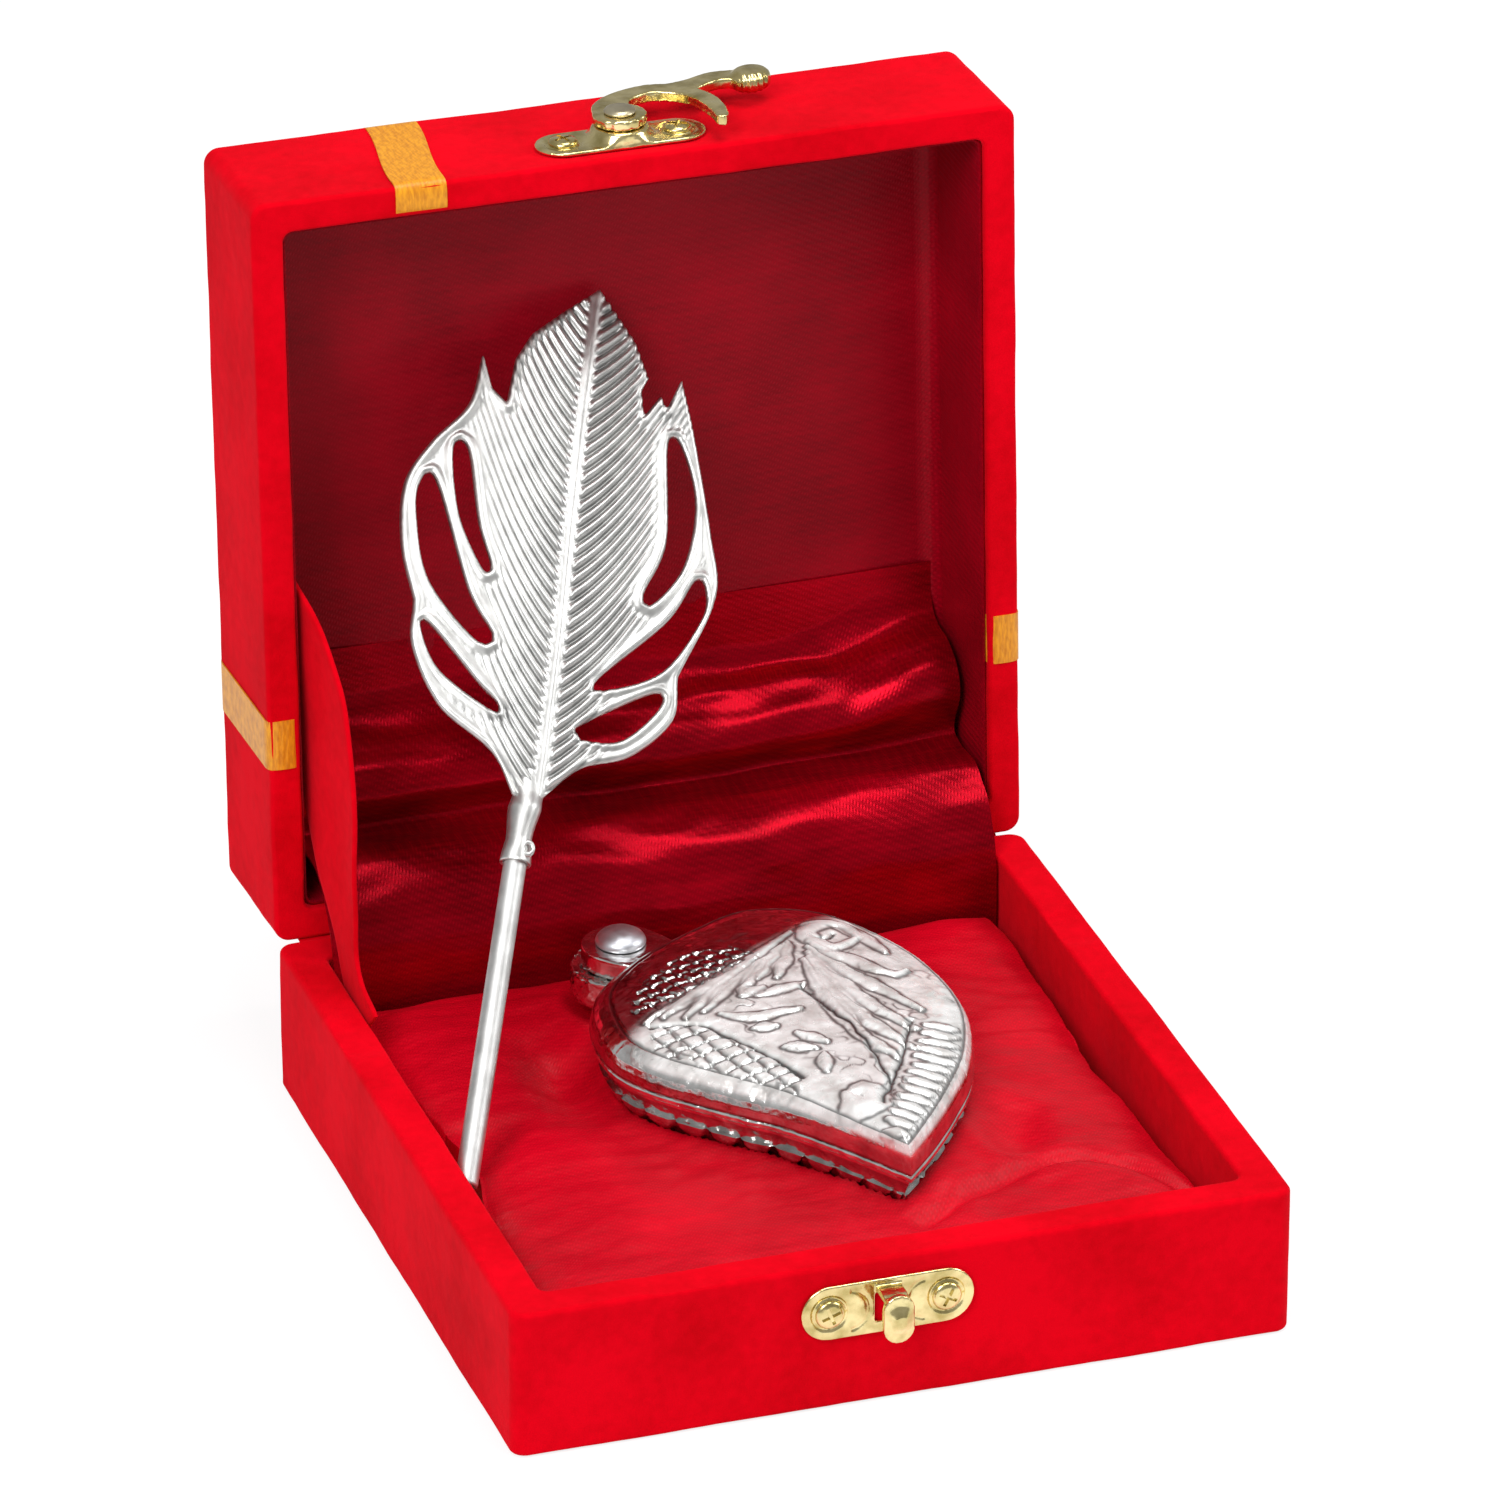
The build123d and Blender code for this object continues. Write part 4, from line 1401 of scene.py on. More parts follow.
    def hook(self, brass: bpy.types.Material) -> None:
        """The cast hook: disc, crescent arm, finger lever and knob, melted into one."""
        outer = [(-4.3, 0.6), (-3.0, 5.0), (1.2, 8.8), (7.6, 10.6)]
        outer += [(13.0, 8.6), (16.2, 3.6), (16.9, -1.6), (16.2, -6.2)]
        inner = [(14.1, -6.5), (14.05, -1.6), (12.6, 3.8), (7.8, 6.9), (3.6, 5.4), (2.6, 3.2)]
        arm = np.vstack([Line.through(outer, 50), [(15.3, -7.3)], Line.through(inner, 34)])
        upper = Line.through([(9.0, 9.6), (14.0, 10.5), (19.0, 12.4), (25.0, 11.7)], 22)
        lower = Line.through([(25.0, 7.0), (19.4, 8.4), (15.4, 6.6), (13.2, 5.2)], 20)
        parts = [Bench.plate("arm", arm[::-1], self.hook_thickness, 0.0)]
        parts.append(Bench.plate("lever", np.vstack([upper, lower])[::-1], self.hook_thickness, 0.0))
        angle = np.linspace(0, math.tau, 64, endpoint=False)
        scallop = 4.4 - 0.28 * (np.sin(angle) < -0.2) * (0.5 + 0.5 * np.cos(angle * 14))
        disc = np.column_stack([scallop * np.cos(angle), scallop * np.sin(angle)])
        parts.append(Bench.plate("disc", disc, self.hook_thickness, 0.3))
        rounding = [(0, -0.7), (2.4, -0.65), (3.2, 0.1), (3.3, 0.9), (3.1, 1.9), (2.3, 2.6), (0, 2.75)]
        knob = self.turned("knob", rounding)
        flat = Bench.read(knob)
        flat[:, 0] = flat[:, 0] * 1.06 + 24.8 + 0.12 * flat[:, 1]
        flat[:, 1] += 9.2
        Bench.write(knob, flat)
        obj = Bench.join("hook_brass", [*parts, knob])
        Bench.fuse(obj, 0.22, 12)
        points = Bench.read(obj)
        ridge = bell(points[:, 1] - 6.6, 1.0) * (points[:, 0] > 22.4)
        points[:, 1] += 0.22 * ridge * np.sin(points[:, 0] * 6.0)
        points[:, 2] += self.level
        Bench.write(obj, points)
        Bench.to_front(obj, self.hook_x, self.hook_z, True)
        Bench.smooth(obj, 60)
        Bench.hand_over(obj, brass, Slot.BRASS, Body.HOOK, ["hook_arm"])

    def rivet(self, steel: bpy.types.Material) -> None:
        """The flattened rivet that the hook turns on."""
        top = self.level + self.hook_thickness + 0.1
        section = [(0, -0.2), (1.45, -0.2), (1.5, 0), (2.5, 0), (2.6, 0.25), (2.35, 0.6)]
        section += [(1.8, 0.8), (1.4, 0.78), (0.8, 0.86), (0, 0.88)]
        section = [(radius, top + rise) for radius, rise in section]
        obj = self.turned("hook_rivet_head", section)
        Bench.to_front(obj, self.hook_x, self.hook_z, True)
        Bench.smooth(obj, 50)
        Bench.hand_over(obj, steel, Slot.BRASS, Body.LID, ["hook_rivet"])

    def build(self) -> None:
        """Make and dress the latch."""
        olive, straw = (0.46, 0.37, 0.13), (0.88, 0.75, 0.38)
        brass = Metal("champagne_brass", olive, straw, 0.13, 0.30, 0.4, 0.06, 1.2).make()
        worn = Metal("worn_brass", (0.44, 0.37, 0.24), (0.66, 0.58, 0.40), 0.26, 0.42, 0.12, 0.03).make()
        self.hook_plate(brass)
        self.screws("hook_plate_screws", "hook_screws", self.hook_x, self.hook_z, True, brass)
        self.hook(brass)
        self.rivet(worn)
        self.keeper(brass)
        self.screws("keeper_plate_screws", "keeper_screws", self.keeper_x, self.keeper_z, False, brass)


@dataclass
class Container:
    """The cast silver leaf: its bowl, swivelling lid, rivet and washer."""

    MIDDLE = 4.0
    SPAN = 29.0
    BEVEL = 0.1103

    rim: float = 25.4
    pad: float = 19.8
    wall: float = 2.2
    lug_height: float = 3.4
    rivet: tuple[float, float] = (-13.0, 39.6)

    @staticmethod
    def outline(count: int) -> np.ndarray:
        """The mango-leaf outline, from its tip round by the right and back again.

        Args:
            count: points.

        Returns:
            Array of points.
        """
        points = [(8.0, -42.0), (14.6, -34.6), (21.0, -26.0), (27.2, -16.0), (31.8, -2.0), (31.8, 12.0)]
        points += [(28.4, 25.0), (20.4, 38.6), (9.0, 43.6), (-2.0, 40.0), (-14.0, 33.0), (-23.4, 23.0)]
        points += [(-26.0, 9.0), (-23.0, -1.6), (-11.9, -14.6), (-5.6, -21.2), (1.6, -31.5), (8.0, -42.0)]
        return Line.through(points, count + 1)[:-1]

    @classmethod
    def share(cls, points: np.ndarray) -> np.ndarray:
        """How far points lie from the leaf's middle, as a share of the outline.

        Args:
            points: array of x and y.

        Returns:
            Shares, 1 on the outline.
        """
        loop = cls.outline(360) - cls.MIDDLE
        angle = np.unwrap(np.arctan2(loop[:, 1], loop[:, 0]))
        across, along = (points - cls.MIDDLE).T
        wanted = np.arctan2(along, across)
        wanted = np.where(wanted < angle[0], wanted + math.tau, wanted)
        reach = np.hypot(*loop.T)
        radius = np.interp(wanted, np.append(angle, angle[0] + math.tau), np.append(reach, reach[0]))
        return np.hypot(across, along) / radius

    @classmethod
    def shell(cls, name: str, section: Points, spread: Sequence[int], columns: int) -> bpy.types.Object:
        """A leaf-shaped shell swept round the outline.

        Args:
            name: the piece's name.
            section: share of the outline and height of each corner of the section.
            spread: cells along each leg of the section.
            columns: cells round it.

        Returns:
            The object.
        """
        corners = np.array(section, float)
        legs = [np.linspace(i, i + 1, cells, endpoint=False) for i, cells in enumerate(spread)]
        at = np.concatenate([*legs, [len(spread)]])
        table = np.column_stack([np.interp(at, range(len(corners)), corners[:, k]) for k in range(2)])
        loop = cls.outline(columns)
        rows = len(table) - 1

        def place(u: np.ndarray, v: np.ndarray) -> np.ndarray:
            """Lay grid points on the shell."""
            scale, z = table[np.rint(v * rows).astype(int)].T
            ring = loop[np.rint(u * columns).astype(int) % columns]
            return np.column_stack([(ring - cls.MIDDLE) * scale[:, None] + cls.MIDDLE, z])

        return Bench.grid(name, columns, rows, place, weld=True)

    @classmethod
    def outward(cls, plan: np.ndarray) -> np.ndarray:
        """Unit directions away from the leaf's middle.

        Args:
            plan: x and y of the points.

        Returns:
            Array of directions.
        """
        radial = plan - cls.MIDDLE
        return radial / np.maximum(np.linalg.norm(radial, axis=1), 1e-6)[:, None]

    @classmethod
    def run_at(cls, plan: np.ndarray) -> np.ndarray:
        """How far along the outline points lie, seen from the leaf's middle.

        Args:
            plan: x and y of the points.

        Returns:
            Array of lengths in millimetres.
        """
        loop = cls.outline(720) - cls.MIDDLE
        run = Line.run(loop)
        angle = np.arctan2(loop[:, 1], loop[:, 0]) % math.tau
        order = np.argsort(angle)
        bearing = np.linspace(0, math.tau, 721)
        wanted = np.arctan2(plan[:, 1] - cls.MIDDLE, plan[:, 0] - cls.MIDDLE) % math.tau
        return np.interp(wanted, bearing, np.interp(bearing, angle[order], run[order]))

    def bowl(self, silver: bpy.types.Material) -> None:
        """The cast bowl: scalloped petals under its flange, and the pebbled rivet lug."""
        inner = 1 - self.wall / self.SPAN
        section = [(0.0, 9.0), (0.683, 9.0), (0.924, self.pad), (0.985, 24.3), (1.0, 24.6)]
        section += [(1.0, self.rim - 0.25), (0.992, self.rim), (inner, self.rim), (0.607, 11.2), (0.0, 11.2)]
        obj = self.shell("container_bowl", section, [4, 26, 34, 2, 5, 2, 3, 20, 6], 480)
        points = Bench.read(obj)
        z = points[:, 2]
        share = self.share(points[:, :2])
        flank = (z > 11.0) & (z < 24.4) & (share > 0.683 + (z - 9.0) * 0.0213)
        run = self.run_at(points[:, :2])
        lobe = np.abs(((run / 6.2) % 1.0) - 0.5) * 2
        foot = 18.4 + 3.4 * lobe**2.2
        petal = step(z, foot - 0.7, foot + 0.4) * (1 - 0.6 * bell(lobe - 1, 0.2))
        petal *= 1 - step(z, 21.6, 23.6)
        drip = bell(z - 14.4 - 1.2 * np.sin(run * 1.01), 1.5) * 0.5
        swell = flank * (0.75 * petal + drip - 0.5 * bell(z - 23.9, 0.5))
        points[:, :2] += self.outward(points[:, :2]) * swell[:, None]
        points += (0.07 * ripple(points, 1.1, 4.0))[:, None] * (z > 10.0)[:, None] * (1.0, 1.0, 0.4)
        Bench.write(obj, points)
        outer = (share > 0.683 + (z - 9.0) * 0.0200) & (z < 24.5)
        # Painted shade on the bowl's flank under the flange, lighter on the petals and at the flange's lip;
        # no painted reflection on the bowl.
        shadow = outer * (0.5 - 0.25 * petal - 0.2 * bell(z - 24.4, 0.3))
        self.paint(obj, frost=np.zeros(len(z)), recess=shadow)
        lug = self.lug("bowl_lug", 8.2, self.rim - 5.0, self.rim, 0.8, 9.0)
        obj = Bench.join("container_bowl", [obj, lug])
        Bench.smooth(obj, 50)
        Bench.hand_over(obj, silver, Slot.SILVER, Body.CONTAINER, ["container_base"])

    def lug(
        self, name: str, radius: float, low: float, high: float, pebble: float, reach: float
    ) -> bpy.types.Object:
        """A round lug for the rivet, webbed back into the leaf.

        Args:
            name: the piece's name.
            radius: its radius.
            low: underside.
            high: top.
            pebble: how rough its top is, in millimetres.
            reach: how far the web runs back into the leaf.

        Returns:
            The object.
        """
        angle = np.linspace(0, math.tau, 96, endpoint=False)
        ring = np.column_stack([radius * np.cos(angle), radius * np.sin(angle)])
        toward = np.array([math.cos(math.radians(-52)), math.sin(math.radians(-52))])
        along = ring @ toward
        ring += np.outer(np.where(along > 0, along / radius * 0.6 * reach, 0), toward)
        places = [0, 0.12, 0.16, 0.34, 0.4, 0.44, 0.5, 1.0]
        scales = [0, 0.96, 1, 1, 0.99, 0.97, 0.93, 0.0]
        heights = [low, low, low + 0.4, high - 0.6, high - 0.15, high, high, high]

        def place(u: np.ndarray, v: np.ndarray) -> np.ndarray:
            """Lay grid points on the lug."""
            at = np.rint(u * 96).astype(int) % 96
            height = np.interp(v, places, heights)
            flat = ring[at] * np.interp(v, places, scales)[:, None]
            bumps = np.abs(ripple(np.column_stack([flat, height]), 0.8, 7.0)) * pebble
            flat = flat * (1 - bumps * (v > 0.12) * (v < 0.46) / radius)[:, None]
            return np.column_stack([flat + self.rivet, height - bumps * (v > 0.42)])

        return Bench.grid(name, 96, 50, place, weld=True)

    def lid(self, silver: bpy.types.Material) -> None:
        """The swivelling lid: filed bevel, embossed top and hollow underside."""
        low, bevel = self.rim + 0.15, 1 - 3.2 / self.SPAN
        section = [(0.0, low + 2.4), (bevel - 0.08, low + 2.4), (1 - self.wall / self.SPAN, low)]
        section += [(0.994, low), (1.0, low + 0.2)]
        for slope, level in ((0.06, 27.2), (0.2, 28.5), (0.45, 29.5), (0.75, 30.3), (1.0, 30.8)):
            section.append((1 - self.BEVEL * slope, level))
        section += [(0.5, 31.0), (0.2, 31.0), (0.0, 31.0)]
        obj = self.shell("container_lid_cast", section, [2, 4, 1, 1, 5, 6, 5, 5, 5, 66, 48, 20], 520)
        points = Bench.read(obj)
        first, z = points[:, :2], points[:, 2]
        share = self.share(first)
        outside = z > low + 2.5
        side = (share >= bevel - 0.0005) & (z > low + 0.1)
        top = outside & ~side
        inset = self.inset(first)
        moved = np.where(top, share * (1 - inset) / bevel, share)
        moved = np.where(side, 1 - (1 - share) * inset / self.BEVEL, moved)
        plan = (first - self.MIDDLE) * (moved / np.maximum(share, 1e-6))[:, None] + self.MIDDLE
        raised, recess = self.relief(plan, share)
        crest = top | (outside & (share < bevel + 0.0005))
        height = np.where(crest, self.dome(share) + raised, z)
        run = self.run_at(first)
        marks = ripple(np.column_stack([run, z * 0.05]), 0.6, 2.0) * 0.12 * bell(z - 29.3, 1.0)
        marks += ripple(np.column_stack([run, z * 0.4]), 3.0, 6.0) * 0.12
        plan = plan + self.outward(first) * (side * np.minimum(marks, 0.0) * 1.3)[:, None]
        Bench.write(obj, np.column_stack([plan, height]))
        # Painted reflection: one part of the top, past a straight line across it, and a band high on the
        # bevel on the same side are made matte white where the light's reflection is painted in.
        ahead = (plan[:, 0] - 11.6) * 0.543 - (plan[:, 1] - 27.8) * 0.84
        frost = np.where(top, step(ahead, -2.0, 3.0), step(z, 28.7, 29.5) * side * step(ahead, 2, 9))
        # Painted shade on the lid's side: darker towards the bottom, a dark line along the bottom edge and
        # darkening in the file marks.
        painted_side_shade = 0.3 * side * (1 - step(z, 27.6, 28.8))
        painted_side_shade += 0.55 * bell(z - 25.8, 0.18) + 0.75 * bell(marks + 0.2, 0.08) * side * bell(z - 29.0, 1.0)
        self.paint(obj, frost=frost * (1 - 0.6 * recess), recess=np.where(crest, recess, painted_side_shade))
        lug = self.lug("lid_lug", 6.4, low, low + self.lug_height, 0.0, 10.0)
        obj = Bench.join("container_lid_cast", [obj, lug])
        Bench.smooth(obj, 60)
        Bench.hand_over(obj, silver, Slot.SILVER, Body.COVER, ["container_lid"])

    @staticmethod
    def paint(obj: bpy.types.Object, **layers: np.ndarray) -> None:
        """Store values at a mesh's points for its finish.

        Args:
            obj: the mesh object.
            layers: attribute names and their values.
        """
        for name, values in layers.items():
            layer = obj.data.attributes.new(name, "FLOAT", "POINT")
            layer.data.foreach_set("value", np.asarray(values, np.float32))

    @classmethod
    def inset(cls, plan: np.ndarray) -> np.ndarray:
        """How far the lid's top edge stands in from its rim, widest along the front left.

        Args:
            plan: x and y of the points.

        Returns:
            Shares of the outline.
        """
        turn = np.degrees(np.arctan2(plan[:, 1] - cls.MIDDLE, plan[:, 0] - cls.MIDDLE)) % 360
        bearings = [0, 60, 110, 150, 190, 215, 240, 258, 268, 276, 284, 310, 360]
        widths = [0.05, 0.06, 0.09, 0.10, 0.105, 0.11, 0.105, 0.08, 0.04, 0.025, 0.04, 0.05, 0.05]
        return np.interp(turn, bearings, widths)

    @staticmethod
    def dome(share: np.ndarray) -> np.ndarray:
        """Height of the lid's top before its relief.

        Args:
            share: share of the outline.

        Returns:
            The heights.
        """
        places = [0.0, 0.25, 0.45, 0.6, 0.72, 0.82, 0.8897]
        return np.interp(share, places, [33.5, 33.4, 33.1, 32.7, 32.2, 31.5, 30.8])

    @staticmethod
    def relief(plan: np.ndarray, share: np.ndarray) -> tuple[np.ndarray, np.ndarray]:
        """The embossed foliage, lattices and rays, in millimetres above the dome.

        Args:
            plan: x and y of the points.
            share: share of the outline.

        Returns:
            The heights, and the painted shade: how dark each point is painted in the hollows, creases,
                grooves and lattice lines and beside the ridges.
        """
        plan = plan + 0.5 * np.column_stack([ripple(plan, 3.4, 21.0), ripple(plan, 3.4, 33.0)])
        plan = plan + 0.22 * np.column_stack([ripple(plan, 1.3, 2.0), ripple(plan, 1.3, 12.0)])
        x, y = plan.T
        height = 0.12 * ripple(plan, 1.1, 3.0) + 0.16 * ripple(plan, 2.4, 5.0)
        height += 0.16 * ripple(plan, 5.5, 8.0)
        crease = bell(ripple(plan, 2.6, 17.0), 0.07) * step(ripple(plan, 7.0, 9.0), 0.0, 0.4)
        height -= 0.2 * crease
        # Painted shade in the low places and creases; later also beside the ridges, in the grooves and
        # lattice lines and along the border, but not on the ridges.
        recess = np.maximum(0.35 * step(-height, 0.16, 0.4), 0.75 * crease)
        cover = np.zeros(len(plan))
        for line, width, rise in Motif.ridges():
            away, at = Line.near(plan, line)
            width = width * (0.45 + 0.95 * np.sin(math.pi * np.clip(at, 0.02, 0.98)) ** 0.8)
            height -= 0.22 * bell(away - 1.75 * width, 0.4)
            height = np.maximum(height, rise * bell(away, width) ** 0.8)
            recess = np.maximum(recess, 0.9 * bell(away - 1.7 * width, 0.34))
            cover = np.maximum(cover, bell(away, 1.15 * width))
        recess *= 1 - cover
        for line, width, depth in Motif.grooves():
            away = Line.away(plan, line)
            height -= depth * bell(away, width)
            recess = np.maximum(recess, bell(away, 0.6 * width))
        for area, turn, pitch in Motif.lattices():
            inside = Motif.within(plan, np.array(area))
            a = math.radians(turn)
            for way in (a, a + math.radians(76)):
                across = (x * math.cos(way) + y * math.sin(way)) / pitch
                line = inside * bell((across % 1.0) - 0.5, 0.12)
                height -= 0.36 * line
                recess = np.maximum(recess, 0.8 * line)
            height += inside * 0.1
        border = bell(share - 0.882, 0.009)
        height = height * (1 - 0.6 * step(share, 0.86, 0.89)) - 0.3 * border
        return height, np.maximum(recess, 0.8 * border)

    def small(self, silver: bpy.types.Material) -> None:
        """The domed rivet, its clench and its washer."""
        seat = self.rim + self.lug_height + 0.3
        section = [(0.0, 18.8), (2.3, 18.8), (2.6, 19.1), (2.6, 19.58), (1.7, 19.6), (1.7, seat), (4.0, seat)]
        for angle in np.linspace(0, math.pi / 2, 14):
            section.append((4.1 * math.cos(angle), seat + 0.25 + 2.15 * math.sin(angle)))
        head = Latch.turned("container_rivet_domed", section, 96)
        points = Bench.read(head)
        points[:, 2] += 0.05 * ripple(points, 1.6, 2.0) * (points[:, 2] > seat + 0.3)
        Bench.write(head, points + (*self.rivet, 0.0))
        Bench.smooth(head, 50)
        Bench.hand_over(head, silver, Slot.SILVER, Body.CONTAINER, ["container_rivet"])
        ring = [(1.72, 19.6), (3.1, 19.6), (3.2, 19.7), (3.2, 20.3)]
        ring += [(3.1, 20.38), (1.72, 20.38), (1.72, 19.6)]
        washer = Latch.turned("rivet_washer_ring", ring)
        Bench.write(washer, Bench.read(washer) + (*self.rivet, 0.0))
        Bench.smooth(washer, 50)
        Bench.hand_over(washer, silver, Slot.SILVER, Body.CONTAINER, ["rivet_washer"])

    def build(self) -> None:
        """Make and dress the container."""
        grey, white = (0.62, 0.60, 0.58), (0.93, 0.93, 0.92)
        cast = Metal("cast_silver", grey, white, 0.10, 0.22, 0.35, 0.08, 1.1, True).make()
        dull = Metal("rivet_silver", (0.52, 0.53, 0.56), (0.74, 0.76, 0.80), 0.34, 0.5, 0.05, 0.03).make()
        self.bowl(cast)
        self.lid(cast)
        self.small(dull)


class Motif:
    """Where the foliage, lattices and rays of the container's lid run, in millimetres."""

    @staticmethod
    def ridges() -> list[tuple[np.ndarray, float, float]]:
        """Raised lines: points, half width and height of each."""
        fingers = [
            [(11.6, 27.8), (3.7, 21.3), (-4.9, 15.2), (-12.4, 10.8), (-19.5, 7.7)],
            [(10.1, 24.2), (7.0, 18.0), (4.4, 12.7)],
            [(9.2, 23.5), (5.2, 18.6), (1.5, 13.1)],
            [(8.2, 22.7), (2.4, 16.2), (-3.1, 9.2)],
            [(5.9, 20.6), (-2.6, 13.6), (-10.0, 6.1)],
            [(3.4, 20.4), (-5.4, 13.2), (-13.2, 5.7)],
            [(-0.3, 17.7), (-8.8, 12.6), (-16.4, 7.2)],
            [(-8.0, 4.4), (-3.4, 1.5), (0.9, 1.6), (4.7, 1.8)],
            [(-4.4, -1.6), (-0.9, -2.3)],
            [(-1.5, -8.4), (2.6, -10.7)],
            [(1.7, -5.6), (5.0, -9.5)],
            [(3.4, -12.9), (2.4, -17.4)],
            [(-0.7, 8.0), (7.8, 9.6)],
            [(-3.3, 8.8), (1.0, 10.3)],
        ]
        petals = [
            [(14.2, 29.9), (19.1, 30.4), (22.7, 24.2), (24.2, 17.6)],
            [(13.3, 23.2), (16.5, 17.2), (22.4, 9.8), (25.4, 10.3)],
            [(12.3, 21.5), (14.4, 13.9), (18.6, 5.6), (23.2, -2.8)],
            [(11.7, 19.7), (12.8, 10.4), (15.7, -0.3), (20.3, -8.7)],
            [(11.3, 17.9), (11.4, 7.9), (13.3, -4.5), (18.1, -14.8)],
            [(10.4, 17.2), (10.0, 6.4), (10.8, -7.6), (14.3, -16.5)],
        ]
        made = [(Line.through(p, 12), 0.66, 0.5) for p in fingers]
        made += [(Line.through(p, 16), 0.8, 0.6) for p in petals]
        ring = [(22.0, 23.8), (20.6, 29.4), (15.2, 28.6), (13.8, 24.4), (16.8, 20.4), (22.0, 23.8)]
        made.append((Line.through(ring, 24), 0.8, 0.6))
        starts = Line.through([(22.0, -7.8), (16.5, -18.1), (9.1, -30.1), (5.5, -36.0)], 14)
        ends = Line.through([(27.2, -9.0), (22.8, -20.2), (14.5, -31.9), (8.7, -38.6)], 14)
        made += [(np.array([a, (a + b) / 2, b]), 0.55, 0.5) for a, b in zip(starts, ends)]
        boss = [(3.2, -25.0), (6.3, -25.2), (6.6, -28.6), (3.6, -28.8), (3.2, -25.0)]
        made.append((Line.through(boss, 16), 1.3, 0.6))
        return made

    @staticmethod
    def grooves() -> list[tuple[np.ndarray, float, float]]:
        """Sunk lines: points, half width and depth of each."""
        borders = [
            [(-19.0, 6.1), (-11.8, 2.8), (-8.7, -2.1), (-4.1, -10.4), (-1.3, -17.1)],
            [(7.2, 9.3), (9.0, 0.8), (10.8, -7.6), (11.4, -15.5), (11.1, -23.1)],
            [(14.9, 24.8), (16.8, 24.6), (18.2, 26.0)],
            [(20.4, -6.2), (14.6, -17.6), (7.6, -29.4)],
        ]
        return [(Line.through(p, 20), 0.6, 0.5) for p in borders]

    @staticmethod
    def lattices() -> list[tuple[list[tuple[float, float]], float, float]]:
        """Diamond lattices: outline, angle in degrees and pitch of each."""
        front = [(-19.0, 6.1), (-11.8, 2.8), (-8.7, -2.1), (-4.1, -10.4), (-1.3, -17.1)]
        front += [(-5.5, -24.4), (-8.4, -17.7), (-11.6, -10.9), (-16.5, -4.4), (-20.9, -1.1)]
        rear = [(0.7, 26.3), (-7.1, 26.9), (-16.0, 19.8), (-20.6, 11.5)]
        rear += [(-17.9, 9.6), (-11.0, 12.3), (-2.3, 17.3), (4.0, 22.2)]
        return [(front, 18.0, 2.7), (rear, 30.0, 2.5)]

    @staticmethod
    def within(points: np.ndarray, area: np.ndarray) -> np.ndarray:
        """Whether points lie in a polygon.

        Args:
            points: array of points.
            area: the polygon's corners.

        Returns:
            1 inside and 0 outside.
        """
        inside = np.zeros(len(points), bool)
        x, y = points.T
        for (x1, y1), (x2, y2) in zip(area, np.roll(area, -1, axis=0)):
            if y1 == y2:
                continue
            crosses = (y1 > y) != (y2 > y)
            inside ^= crosses & (x < (x2 - x1) * (y - y1) / (y2 - y1) + x1)
        return inside.astype(float)


